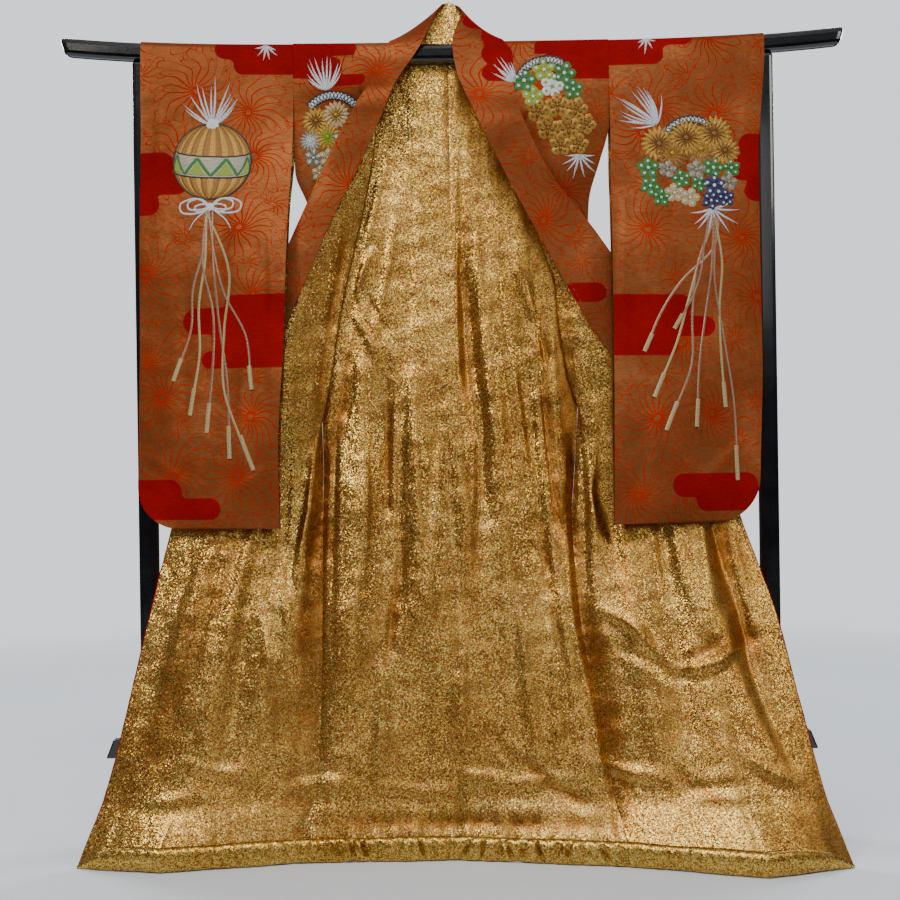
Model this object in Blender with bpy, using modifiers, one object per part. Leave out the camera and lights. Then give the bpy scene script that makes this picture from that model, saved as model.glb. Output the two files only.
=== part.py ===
"""Uchikake wedding kimono, its fronts turned outwards, hung on a lacquered stand.

Metres, +Z up. X runs to the right as seen from the front, Y away from the viewer.
Left and right are those of someone who faces the kimono. While it is modelled, the top
bar lies over X = 0, Y = 0 and the floor is Z = 0; an empty then moves the whole so that
the origin is at the bottom centre of its box.
"""
import math
from collections import namedtuple

import bmesh
import bpy
from mathutils import Vector

# Stand, all lacquered wood
BAR_HALF_LENGTH = 0.822
BAR_HEIGHT = 0.0385
BAR_DEPTH = 0.032
BAR_CORNER = 0.012
BAR_CORNER_STEPS = 3
BAR_TOP_Z = 1.650
BAR_TIP_LIFT = 0.025
BAR_LIFT_POWER = 3.6
BAR_TIP_SLANT = 0.012
BAR_SPANS = 24
POST_X = 0.650
POST_WIDTH = 0.039
POST_DEPTH = 0.034
POST_ROUND = 0.009
RAIL_Z = 0.185
RAIL_HEIGHT = 0.040
RAIL_DEPTH = 0.020
RAIL_HALF_LENGTH = 0.745
RAIL_CHAMFER = 0.016
FOOT_WIDTH = 0.045
FOOT_HEIGHT = 0.040
FOOT_FRONT_Y = -0.170
FOOT_BACK_Y = 0.200
FOOT_NOSE = 0.022
EDGE_ROUND = 0.003
CLEARANCE = 0.0003

# Cloth: distances of the wall faces from the drawn surface, which is the lining's face
LINING_FACES = (0.0003, 0.0018)
SILK_FACES = (0.0021, 0.0036)
SLEEVE_FACES = (0.0, 0.0022)
COLLAR_FACES = (-0.0015, 0.0015)
SEAM_INSET = 0.00025
SILK_EDGE_REACH = 0.003
BAR_LAP = 0.0005

# Cut and hang of the body
CENTRE_X = -0.009
BACK_NECK_Z = 1.644
NECK_X = {-1: -0.1334, 1: 0.1050}
SHOULDER_X = {-1: -0.3320, 1: 0.3250}
SLEEVE_END_X = {-1: -0.650, 1: 0.650}
OKUMI_TOP_Z = 1.43
BACK_TURN_Y = 0.004
TURN_ROUND = 0.014
ROLL_NEAR = 0.18
ROLL_HALF = 0.08
SEAM_VALLEY = 0.012
BACK_HUMP = 0.011
HUMP_POWER = 4
HUMP_TOP_Z = 1.0

# One row for each height. side: side seam of the front; back_y: depth of the back panel's
# side edge; turn_x: the roll where the front folds back on itself; turned: how far it does;
# seam: seam between front and overlap panel; edge: front edge, or collar seam higher up.
Section = namedtuple("Section", "z side_x side_y back_y turn_x turned seam_x seam_y edge_x edge_y")
SECTIONS = {
    -1: [
        Section(0.000, -0.322, -0.214, -0.214, -0.43, 0.0, -0.582, -0.266, -0.750, -0.228),
        Section(0.130, -0.291, -0.180, -0.180, -0.40, 0.0, -0.553, -0.222, -0.704, -0.188),
        Section(0.300, -0.282, -0.140, -0.140, -0.38, 0.0, -0.512, -0.178, -0.664, -0.146),
        Section(0.450, -0.280, -0.110, -0.110, -0.36, 0.0, -0.488, -0.143, -0.634, -0.108),
        Section(0.650, -0.280, -0.064, -0.064, -0.32, 0.0, -0.465, -0.090, -0.588, -0.062),
        Section(0.760, -0.279, -0.045, -0.044, -0.29, 0.2, -0.435, -0.076, -0.550, -0.056),
        Section(0.870, -0.281, -0.030, -0.028, -0.272, 0.7, -0.400, -0.068, -0.505, -0.053),
        Section(0.985, -0.285, -0.020, -0.018, -0.259, 1.0, -0.362, -0.060, -0.452, -0.050),
        Section(1.075, -0.289, -0.013, -0.011, -0.246, 1.0, -0.334, -0.054, -0.410, -0.049),
        Section(1.236, -0.297, -0.004, -0.001, -0.210, 1.0, -0.299, -0.046, -0.338, -0.046),
        Section(1.309, -0.305, -0.007, 0.003, -0.192, 1.0, -0.282, -0.045, -0.304, -0.045),
        Section(1.385, -0.331, -0.014, 0.009, -0.176, 1.0, -0.260, -0.045, -0.268, -0.045),
        Section(1.450, -0.332, -0.017, 0.013, -0.167, 1.0, -0.236, -0.046, -0.236, -0.046),
        Section(1.490, -0.332, -0.018, 0.015, -0.166, 1.0, -0.212, -0.051, -0.212, -0.051),
        Section(1.520, -0.332, -0.018, 0.016, -0.172, 0.9, -0.194, -0.056, -0.194, -0.056),
        Section(1.550, -0.332, -0.018, 0.0165, -0.182, 0.5, -0.174, -0.052, -0.174, -0.052),
        Section(1.585, -0.332, -0.017, 0.0165, -0.180, 0.1, -0.160, -0.032, -0.160, -0.032),
        Section(1.620, -0.3320, -0.0165, 0.0165, -0.175, 0.0, -0.148, -0.0175, -0.148, -0.0175),
    ],
    1: [
        Section(0.000, 0.314, -0.270, -0.270, 0.43, 0.0, 0.560, -0.353, 0.735, -0.298),
        Section(0.130, 0.292, -0.216, -0.216, 0.41, 0.0, 0.535, -0.288, 0.695, -0.246),
        Section(0.300, 0.269, -0.160, -0.160, 0.38, 0.0, 0.516, -0.214, 0.664, -0.178),
        Section(0.450, 0.242, -0.120, -0.120, 0.35, 0.0, 0.492, -0.158, 0.637, -0.122),
        Section(0.650, 0.232, -0.066, -0.066, 0.29, 0.0, 0.450, -0.092, 0.578, -0.062),
        Section(0.760, 0.240, -0.046, -0.045, 0.26, 0.3, 0.425, -0.078, 0.536, -0.056),
        Section(0.878, 0.249, -0.030, -0.028, 0.244, 0.7, 0.396, -0.067, 0.487, -0.052),
        Section(0.964, 0.2535, -0.021, -0.019, 0.231, 1.0, 0.366, -0.060, 0.448, -0.050),
        Section(1.050, 0.262, -0.015, -0.013, 0.2175, 1.0, 0.332, -0.054, 0.400, -0.049),
        Section(1.141, 0.270, -0.009, -0.007, 0.211, 1.0, 0.302, -0.050, 0.350, -0.048),
        Section(1.2025, 0.2755, -0.005, -0.002, 0.192, 1.0, 0.285, -0.046, 0.319, -0.046),
        Section(1.314, 0.2805, -0.007, 0.004, 0.155, 1.0, 0.218, -0.045, 0.233, -0.047),
        Section(1.399, 0.3040, -0.014, 0.010, 0.138, 1.0, 0.171, -0.048, 0.179, -0.0515),
        Section(1.440, 0.3170, -0.016, 0.012, 0.135, 1.0, 0.158, -0.055, 0.158, -0.055),
        Section(1.473, 0.3240, -0.018, 0.014, 0.136, 0.8, 0.143, -0.057, 0.143, -0.057),
        Section(1.505, 0.3250, -0.018, 0.015, 0.142, 0.4, 0.131, -0.048, 0.131, -0.048),
        Section(1.540, 0.3250, -0.018, 0.0165, 0.144, 0.05, 0.125, -0.031, 0.125, -0.031),
        Section(1.620, 0.3250, -0.0165, 0.0165, 0.150, 0.0, 0.122, -0.0175, 0.122, -0.0175),
    ],
}

# Depth of the centre-back seam
Depth = namedtuple("Depth", "z y")
CENTRE_BACK = [
    Depth(0.00, -0.208),
    Depth(0.30, -0.150),
    Depth(0.60, -0.092),
    Depth(0.90, -0.046),
    Depth(1.20, -0.008),
    Depth(1.40, 0.008),
    Depth(1.60, 0.0165),
    Depth(1.65, 0.0165),
]

# The largest folds of the hanging cloth: a ridge has a depth above 0, a valley below 0
Fold = namedtuple("Fold", "top_x top_z foot_x foot_z width depth")
FOLDS = [
    Fold(-0.190, 1.06, -0.225, 0.30, 0.020, 0.012),
    Fold(-0.150, 1.02, -0.150, 0.34, 0.018, -0.011),
    Fold(-0.095, 1.00, -0.070, 0.40, 0.020, 0.012),
    Fold(-0.040, 0.96, 0.000, 0.42, 0.016, -0.009),
    Fold(0.010, 1.28, 0.055, 0.62, 0.016, -0.010),
    Fold(0.060, 1.20, 0.110, 0.38, 0.020, 0.012),
    Fold(0.130, 1.14, 0.185, 0.30, 0.020, -0.012),
    Fold(-0.360, 0.62, -0.410, 0.16, 0.022, 0.012),
    Fold(-0.420, 0.62, -0.470, 0.14, 0.018, -0.008),
    Fold(0.340, 0.68, 0.380, 0.16, 0.024, 0.013),
    Fold(0.410, 0.66, 0.450, 0.14, 0.018, -0.009),
    Fold(0.545, 0.60, 0.600, 0.24, 0.022, -0.012),
]

# Front arms of the collar: free edge at each height, and how far it stands off the seam
CollarArm = namedtuple("CollarArm", "z free_x stand_off")
COLLAR_ARMS = {
    -1: [
        CollarArm(0.870, -0.436, 0.004),
        CollarArm(0.980, -0.384, 0.005),
        CollarArm(1.075, -0.343, 0.006),
        CollarArm(1.186, -0.294, 0.007),
        CollarArm(1.2855, -0.249, 0.009),
        CollarArm(1.375, -0.201, 0.010),
        CollarArm(1.450, -0.165, 0.010),
        CollarArm(1.485, -0.149, 0.010),
        CollarArm(1.510, -0.138, 0.010),
        CollarArm(1.530, -0.129, 0.010),
        CollarArm(1.550, -0.120, 0.009),
        CollarArm(1.580, -0.105, 0.008),
        CollarArm(1.615, -0.083, 0.007),
    ],
    1: [
        CollarArm(0.870, 0.382, 0.004),
        CollarArm(0.950, 0.345, 0.005),
        CollarArm(1.042, 0.282, 0.006),
        CollarArm(1.141, 0.225, 0.008),
        CollarArm(1.237, 0.173, 0.010),
        CollarArm(1.340, 0.119, 0.011),
        CollarArm(1.400, 0.088, 0.011),
        CollarArm(1.450, 0.063, 0.011),
        CollarArm(1.485, 0.0465, 0.010),
        CollarArm(1.510, 0.036, 0.010),
        CollarArm(1.530, 0.0275, 0.010),
        CollarArm(1.550, 0.020, 0.009),
        CollarArm(1.580, 0.009, 0.008),
        CollarArm(1.625, 0.001, 0.006),
    ],
}

COLLAR_COLUMNS = (0.0, 0.33, 0.67, 1.0)
COLLAR_TOP_LIFT = 0.0070

# Behind the neck the collar stands up, pinched to a peak
NeckRing = namedtuple("NeckRing", "seam_x seam_y seam_z free_x free_y free_z")
COLLAR_NECK = [
    NeckRing(-0.1340, -0.0220, 1.646, -0.060, -0.0290, 1.652),
    NeckRing(-0.1280, -0.0060, 1.6570, -0.042, -0.0150, 1.690),
    NeckRing(-0.1200, 0.0100, 1.6575, -0.029, 0.0020, 1.722),
    NeckRing(-0.1000, 0.0228, 1.6480, -0.020, 0.0160, 1.738),
    NeckRing(-0.0560, 0.0235, 1.6400, -0.014, 0.0240, 1.743),
    NeckRing(-0.0120, 0.0235, 1.6390, -0.006, 0.0260, 1.7455),
    NeckRing(0.0360, 0.0235, 1.6410, 0.006, 0.0240, 1.741),
    NeckRing(0.0760, 0.0228, 1.6490, 0.017, 0.0150, 1.731),
    NeckRing(0.0930, 0.0100, 1.6580, 0.021, 0.0000, 1.716),
    NeckRing(0.1010, -0.0060, 1.6580, 0.014, -0.0150, 1.694),
    NeckRing(0.1090, -0.0220, 1.6470, 0.002, -0.0260, 1.660),
]

# Sleeve bags: edges and depths of their two sheets at each height
SleeveRow = namedtuple("SleeveRow", "z inner_x outer_x front_in_y front_out_y back_in_y back_out_y back_out_x")
SLEEVES = {
    -1: [
        SleeveRow(0.649, -0.3595, -0.6525, -0.1360, -0.090, -0.1360, -0.090, -0.6525),
        SleeveRow(0.800, -0.3610, -0.6525, -0.1310, -0.072, -0.1000, -0.072, -0.6525),
        SleeveRow(1.010, -0.3510, -0.6520, -0.1110, -0.047, -0.0800, -0.047, -0.6520),
        SleeveRow(1.240, -0.3420, -0.6515, -0.0900, -0.036, -0.0620, -0.036, -0.6515),
        SleeveRow(1.310, -0.3395, -0.6510, -0.0740, -0.032, -0.0440, -0.032, -0.6510),
        SleeveRow(1.370, -0.3365, -0.6510, -0.0520, -0.028, -0.0120, -0.025, -0.6270),
        SleeveRow(1.410, -0.3350, -0.6510, -0.0380, -0.026, 0.0090, -0.0160, -0.6180),
        SleeveRow(1.500, -0.3326, -0.6500, -0.0235, -0.0225, 0.0150, 0.0080, -0.6160),
        SleeveRow(1.570, -0.3326, -0.6500, -0.0200, -0.0210, 0.0165, 0.0170, -0.6220),
        SleeveRow(1.620, -0.3326, -0.6500, -0.0165, -0.0190, 0.0165, 0.0195, -0.6420),
    ],
    1: [
        SleeveRow(0.648, 0.3100, 0.6080, -0.1400, -0.090, -0.1400, -0.090, 0.6080),
        SleeveRow(0.800, 0.3130, 0.6180, -0.1330, -0.072, -0.1020, -0.072, 0.6180),
        SleeveRow(1.000, 0.3175, 0.6290, -0.1110, -0.047, -0.0800, -0.047, 0.6290),
        SleeveRow(1.200, 0.3190, 0.6295, -0.0930, -0.038, -0.0650, -0.038, 0.6295),
        SleeveRow(1.310, 0.3200, 0.6300, -0.0740, -0.032, -0.0440, -0.032, 0.6300),
        SleeveRow(1.370, 0.3220, 0.6310, -0.0520, -0.028, -0.0120, -0.025, 0.6200),
        SleeveRow(1.415, 0.3245, 0.6330, -0.0370, -0.026, 0.0090, -0.0160, 0.6140),
        SleeveRow(1.500, 0.3256, 0.6400, -0.0235, -0.0225, 0.0150, 0.0080, 0.6150),
        SleeveRow(1.570, 0.3256, 0.6460, -0.0200, -0.0210, 0.0165, 0.0170, 0.6220),
        SleeveRow(1.620, 0.3256, 0.6500, -0.0165, -0.0190, 0.0165, 0.0195, 0.6420),
    ],
}
SLEEVE_CORNER = 0.085
SLEEVE_BELLY = 0.006
SLEEVE_EDGE = 0.005
WRIST_OPEN_Z = 1.36

# Padded hem roll
FUKI_HEIGHT = 0.048
FUKI_TIP_HEIGHT = 0.006
FUKI_THICKNESS = 0.028
FUKI_TIP_THICKNESS = 0.006
FUKI_GROWTH = (0.0, 0.66, 0.90, 1.0, 1.0)
FUKI_RING_STEP = 0.0165
FUKI_RING_POINTS = 8
GATHER_DEPTH = 0.0026
GATHER_HALF_SPAN = 0.42
HEM_GAP = 0.0028

# Grid of the cloth
SEWN_HEIGHTS = (0.115, 0.18, 0.25, 0.33, 0.41, 0.50, 0.59, 0.68, 0.77, 0.86, 0.95, 1.05, 1.15, 1.25)
BACK_HEIGHTS = SEWN_HEIGHTS + (1.38, 1.50, 1.61)
FRONT_HEIGHTS = tuple(sorted(SEWN_HEIGHTS + (0.905,))) + (1.34, 1.40, 1.45, 1.485, 1.51, 1.53, 1.55, 1.58, 1.615)
NECK_COLUMNS = 3
OUTER_COLUMNS = 9
OKUMI_COLUMNS = 4
TURN_COLUMNS = (3, 3, 3)

SIDE_NAMES = {-1: "left", 1: "right"}


def between(a, b, t):
    """Value part of the way from a to b."""
    return a + (b - a) * t


def at_height(rows, z):
    """Row of a table at any height, eased so that no value overshoots its rows."""
    z = min(max(z, rows[0].z), rows[-1].z)
    index = 0
    while index < len(rows) - 2 and rows[index + 1].z < z:
        index += 1
    low, high = rows[index], rows[index + 1]
    span = high.z - low.z
    t = (z - low.z) / span
    values = [z]
    for column in range(1, len(low)):
        slopes = []
        for row in (index, index + 1):
            if row == 0 or row == len(rows) - 1:
                slopes.append((high[column] - low[column]) / span)
                continue
            before = (rows[row][column] - rows[row - 1][column]) / (rows[row].z - rows[row - 1].z)
            after = (rows[row + 1][column] - rows[row][column]) / (rows[row + 1].z - rows[row].z)
            flat = before * after <= 0.0
            slopes.append(0.0 if flat else 2.0 * before * after / (before + after))
        values.append(hermite(low[column], high[column], slopes[0] * span, slopes[1] * span, t))
    return type(low)(*values)


def hermite(start, end, start_slope, end_slope, t):
    """Cubic between two values, or two points, with the slopes given at its ends."""
    square = t * t
    cube = square * t
    return (start * (2.0 * cube - 3.0 * square + 1.0) + start_slope * (cube - 2.0 * square + t)
            + end * (3.0 * square - 2.0 * cube) + end_slope * (cube - square))


def bar_lift(x):
    """Rise of the top bar towards its tips."""
    return BAR_TIP_LIFT * (abs(x) / BAR_HALF_LENGTH) ** BAR_LIFT_POWER


def bar_lap_path(x):
    """Points round the upper half of the bar at x, from its back face to its front face."""
    reach = BAR_DEPTH / 2.0 + BAR_LAP
    top = BAR_TOP_Z + bar_lift(x) + BAR_LAP
    corner = BAR_CORNER + BAR_LAP
    middle_z = top - corner
    path = [Vector((x, reach, middle_z - 0.012))]
    for facing in (1, -1):
        steps = range(BAR_CORNER_STEPS + 1)
        for step in steps if facing == 1 else reversed(steps):
            angle = math.pi / 2.0 * step / BAR_CORNER_STEPS
            y = facing * (reach - corner + corner * math.cos(angle))
            path.append(Vector((x, y, middle_z + corner * math.sin(angle))))
    path.append(Vector((x, -reach, middle_z - 0.012)))
    return path


def fold_depth(x, z):
    """How far the large folds bring the cloth forward at x and z."""
    total = 0.0
    for fold in FOLDS:
        t = (fold.top_z - z) / (fold.top_z - fold.foot_z)
        if 0.0 < t < 1.0:
            axis = between(fold.top_x, fold.foot_x, t)
            width = fold.width * (0.7 + 0.7 * t)
            total += fold.depth * math.sin(math.pi * t) * math.exp(-((x - axis) / width) ** 2)
    return total


def back_point(side, u, z):
    """Point of the back panel: u runs from the centre-back seam to the side."""
    row = at_height(SECTIONS[side], z)
    x = between(CENTRE_X, row.side_x, u)
    y = between(at_height(CENTRE_BACK, z).y, row.back_y, u)
    grown = min(1.0, max(0.0, (HUMP_TOP_Z - z) / 0.3)) * min(1.0, z / 0.2)
    y -= BACK_HUMP * math.sin(math.pi * u ** HUMP_POWER) * grown
    return Vector((x, y - fold_depth(x, z), z))


def front_curve(side, z):
    """Points of the front at one height, from the side seam round the roll to the edge."""
    row = at_height(SECTIONS[side], z)
    start = Vector((row.side_x, row.side_y, 0.0))
    seam = Vector((row.seam_x, row.seam_y, 0.0))
    edge = Vector((row.edge_x, row.edge_y, 0.0))
    turn_back = Vector((row.turn_x, row.side_y - BACK_TURN_Y, 0.0))
    turn_front = turn_back - Vector((0.0, TURN_ROUND, 0.0))
    roll = min(max((row.turn_x - row.side_x) / (row.seam_x - row.side_x), ROLL_NEAR), 1.0 - ROLL_NEAR)
    valley = Vector((0.0, SEAM_VALLEY * min(1.0, z / 0.5) * (1.0 - roll), 0.0))
    first = (start.lerp(seam, roll - ROLL_HALF) - valley).lerp(turn_back, row.turned)
    second = start.lerp(seam, roll + ROLL_HALF).lerp(turn_front, row.turned)
    reach = (second - first).length * 1.7
    into = (first - start).normalized() * reach
    away = (seam - second).normalized() * reach
    points = [start.lerp(first, i / TURN_COLUMNS[0]) for i in range(TURN_COLUMNS[0])]
    points += [hermite(first, second, into, away, i / TURN_COLUMNS[1]) for i in range(TURN_COLUMNS[1])]
    points += [second.lerp(seam, i / TURN_COLUMNS[2]) for i in range(TURN_COLUMNS[2] + 1)]
    points += [seam.lerp(edge, i / OKUMI_COLUMNS) for i in range(1, OKUMI_COLUMNS + 1)]
    shown = TURN_COLUMNS[0] + TURN_COLUMNS[1]
    for index, point in enumerate(points):
        weight = 1.0 if index >= shown else 1.0 - row.turned
        point.y -= fold_depth(point.x, z) * weight
        point.z = z
    return points


def lapel_depth(side, x, z):
    """Depth of the turned-out front at x and z, in front of which the collar lies."""
    shown = front_curve(side, z)[TURN_COLUMNS[0] + TURN_COLUMNS[1]:]
    depth = shown[0].y
    for a, b in zip(shown, shown[1:]):
        if side * a.x <= side * x <= side * b.x:
            depth = between(a.y, b.y, (x - a.x) / (b.x - a.x))
    return depth


def hem_height(side, x):
    """Height of the padded hem roll under the point x of the hem."""
    hem = SECTIONS[side][0]
    column = OKUMI_COLUMNS * (hem.edge_x - x) / (hem.edge_x - hem.seam_x)
    column = min(max(column, 0.0), OKUMI_COLUMNS - 0.001)
    index = int(column)
    grown = between(FUKI_GROWTH[index], FUKI_GROWTH[index + 1], column - index)
    return between(FUKI_TIP_HEIGHT, FUKI_HEIGHT, grown)


def grid_normals(grid, facing):
    """Unit normal at each point of a grid of rows, from its neighbours."""
    normals = []
    last_row, last_column = len(grid) - 1, len(grid[0]) - 1
    for r, row in enumerate(grid):
        line = []
        for c in range(len(row)):
            across = row[min(c + 1, last_column)] - row[max(c - 1, 0)]
            along = grid[min(r + 1, last_row)][c] - grid[max(r - 1, 0)][c]
            line.append((across.cross(along) * facing).normalized())
        normals.append(line)
    return normals


def grid_faces(rows, columns, first=0):
    """Triangles of a grid whose points are numbered row by row from first."""
    faces = []
    for r in range(rows - 1):
        for c in range(columns - 1):
            a = first + r * columns + c
            b, d, e = a + 1, a + columns, a + columns + 1
            faces.append((a, b, e))
            faces.append((a, e, d))
    return faces


def new_object(name, mesh_or_bmesh, material):
    """Object in the kimono's collection, under the empty that carries everything."""
    mesh = mesh_or_bmesh
    if isinstance(mesh_or_bmesh, bmesh.types.BMesh):
        mesh = bpy.data.meshes.new(name)
        mesh_or_bmesh.to_mesh(mesh)
        mesh_or_bmesh.free()
    mesh.materials.append(material)
    obj = bpy.data.objects.new(name, mesh)
    parts.objects.link(obj)
    obj.parent = carrier
    return obj


def cloth_wall(name, points, normals, faces, wall, material, facing=1):
    """Closed wall of cloth between two surfaces moved out from the drawn one."""
    mesh = bmesh.new()
    near = [mesh.verts.new(point + normal * wall[0]) for point, normal in zip(points, normals)]
    far = [mesh.verts.new(point + normal * wall[1]) for point, normal in zip(points, normals)]
    counted = {(a, b) for face in faces for a, b in zip(face, face[1:] + face[:1])}
    for face in faces:
        order = face if facing == 1 else face[::-1]
        mesh.faces.new([far[i] for i in order])
        mesh.faces.new([near[i] for i in reversed(order)])
        for a, b in zip(order, order[1:] + order[:1]):
            if ((b, a) if facing == 1 else (a, b)) not in counted:
                mesh.faces.new((near[a], near[b], far[b]))
                mesh.faces.new((near[a], far[b], far[a]))
    unused = [vert for vert in mesh.verts if not vert.link_faces]
    bmesh.ops.delete(mesh, geom=unused, context="VERTS")
    obj = new_object(name, mesh, material)
    obj.data.shade_smooth()
    obj.data.set_sharp_from_angle(angle=math.radians(50.0))
    return obj


def inset_ends(row, first, last):
    """Row of points whose first and last are drawn in, for the gap at a seam."""
    row = [point.copy() for point in row]
    if first:
        row[0] += (row[1] - row[0]).normalized() * first
    if last:
        row[-1] += (row[-2] - row[-1]).normalized() * last
    return row


def side_grids(side):
    """Back, shoulder and front points of one half of the body, hem to shoulder to hem."""
    back, lap, front = [], [], []
    neck_u = (NECK_X[side] - CENTRE_X) / (SHOULDER_X[side] - CENTRE_X)
    back_u = [neck_u * c / NECK_COLUMNS for c in range(NECK_COLUMNS)]
    back_u += [between(neck_u, 1.0, c / OUTER_COLUMNS) for c in range(OUTER_COLUMNS + 1)]
    foot = [back_point(side, u, 0.0) for u in back_u]
    for point in foot:
        point.z = hem_height(side, point.x) + HEM_GAP
    back.append(foot)
    back += [[back_point(side, u, z) for u in back_u] for z in BACK_HEIGHTS]
    columns = [between(NECK_X[side], SHOULDER_X[side], c / OUTER_COLUMNS) for c in range(OUTER_COLUMNS + 1)]
    paths = [bar_lap_path(x) for x in columns]
    lap = [[path[i] for path in paths] for i in range(len(paths[0]))]
    front = [list(reversed(front_curve(side, z))) for z in reversed(FRONT_HEIGHTS)]
    foot = list(reversed(front_curve(side, 0.0)))
    for point in foot:
        point.z = hem_height(side, point.x) + HEM_GAP
    front.append(foot)
    return back, lap, front


def body_surfaces(side):
    """Points, normals and triangles of one body strip, and of its overlap panel."""
    back, lap, front = side_grids(side)
    facing = -side
    okumi = [row[:OKUMI_COLUMNS + 1] for row in front]
    front = [row[OKUMI_COLUMNS:] for row in front]
    strip = [row[NECK_COLUMNS:] for row in back] + lap + front
    strip_normals = grid_normals(strip, facing)
    back_normals = grid_normals(back, facing)
    whole_front = [a + b[1:] for a, b in zip(okumi, front)]
    front_normals = grid_normals(whole_front, facing)
    for r in range(len(back) - 1):
        strip_normals[r] = back_normals[r][NECK_COLUMNS:]
    first_front = len(back) + len(lap)
    for r in range(1, len(front)):
        strip_normals[first_front + r] = front_normals[r][OKUMI_COLUMNS:]
    return back, back_normals, strip, strip_normals, whole_front, front_normals


def build_body(side):
    """Silk strip, lining strip, silk overlap and lining overlap of one side."""
    name = SIDE_NAMES[side]
    facing = -side
    back, back_normals, strip, strip_normals, whole_front, front_normals = body_surfaces(side)
    centre_rows = len(back)
    points, normals, faces = [], [], []
    columns = OUTER_COLUMNS + 1
    for row, line in zip(strip, strip_normals):
        points += inset_ends(row, SEAM_INSET, SEAM_INSET)
        normals += line
    faces += grid_faces(len(strip), columns)
    neck_first = len(points)
    for r in range(centre_rows):
        row = inset_ends(back[r][:NECK_COLUMNS + 1], SEAM_INSET, 0.0)
        points += row[:-1]
        line = back_normals[r][:NECK_COLUMNS]
        line[0] = Vector((0.0, line[0].y, line[0].z)).normalized()
        normals += line
    for r in range(centre_rows - 1):
        for c in range(NECK_COLUMNS):
            a = neck_first + r * NECK_COLUMNS + c
            d = a + NECK_COLUMNS
            last = c == NECK_COLUMNS - 1
            b = r * columns if last else a + 1
            e = (r + 1) * columns if last else d + 1
            faces += [(a, b, e), (a, e, d)]
    for r in range(centre_rows):
        points[r * columns] = strip[r][0]
    top = centre_rows - 1
    lift = BACK_NECK_Z - BACK_HEIGHTS[-1]
    for c in range(NECK_COLUMNS):
        points[neck_first + top * NECK_COLUMNS + c] += Vector((0.0, 0.0, lift * (1.0 - 0.2 * c)))
    cloth_wall("body_" + name, points, normals, faces, SILK_FACES, silk, facing)
    cloth_wall("lining_" + name, points, normals, faces, LINING_FACES, lame, facing)
    above = len([z for z in FRONT_HEIGHTS if z > OKUMI_TOP_Z])
    rows = range(above, len(whole_front))
    for part, wall, material, reach in (("okumi_", SILK_FACES, silk, SILK_EDGE_REACH),
                                        ("okumi_lining_", LINING_FACES, lame, 0.0)):
        points, normals = [], []
        for r in rows:
            row = inset_ends(whole_front[r][:OKUMI_COLUMNS + 1], 0.0, SEAM_INSET)
            line = front_normals[r][:OKUMI_COLUMNS + 1]
            if reach:
                row = [row[0] + (row[0] - row[1]).normalized() * reach] + row
                line = line[:1] + line
            points += row
            normals += line
        faces = grid_faces(len(rows), len(points) // len(rows))
        cloth_wall(part + name, points, normals, faces, wall, material, facing)


def build_collar():
    """Collar: one band from behind the left sleeve, round the neck, to behind the right one."""
    rows = []
    for side in (-1, 1):
        arm = []
        for station in COLLAR_ARMS[side]:
            body = at_height(SECTIONS[side], station.z)
            lift = between(0.0062, 0.0036, body.turned) if station.z < OKUMI_TOP_Z else COLLAR_TOP_LIFT
            seam = Vector((body.edge_x + side * 0.002, body.edge_y - lift, station.z))
            lapel = min(lapel_depth(side, station.free_x, station.z), body.edge_y)
            free = Vector((station.free_x, lapel - lift - station.stand_off, station.z))
            band = [seam.lerp(free, share) for share in COLLAR_COLUMNS]
            for point in band[1:]:
                point.y = min(point.y, lapel_depth(side, point.x, station.z) - lift - 0.001)
            arm.append(band)
        rows.append(arm)
    neck = []
    for ring in COLLAR_NECK:
        neck.append([Vector(ring[:3]).lerp(Vector(ring[3:]), share) for share in COLLAR_COLUMNS])
    grid = rows[0] + neck + rows[1][::-1]
    normals = grid_normals(grid, 1)
    points = [point for row in grid for point in row]
    flat = [normal for line in normals for normal in line]
    return cloth_wall("collar", points, flat, grid_faces(len(grid), 4), COLLAR_FACES, silk, 1)


def sleeve_outline(side, z):
    """Row of the sleeve table at z, its outer edge drawn in where the lower corner is round."""
    rows = SLEEVES[side]
    row = at_height(rows, z)
    rise = z - rows[0].z
    if rise >= SLEEVE_CORNER:
        return row
    drawn = SLEEVE_CORNER - math.sqrt(SLEEVE_CORNER ** 2 - (SLEEVE_CORNER - rise) ** 2)
    return row._replace(outer_x=row.outer_x - side * drawn, back_out_x=row.back_out_x - side * drawn)


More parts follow.
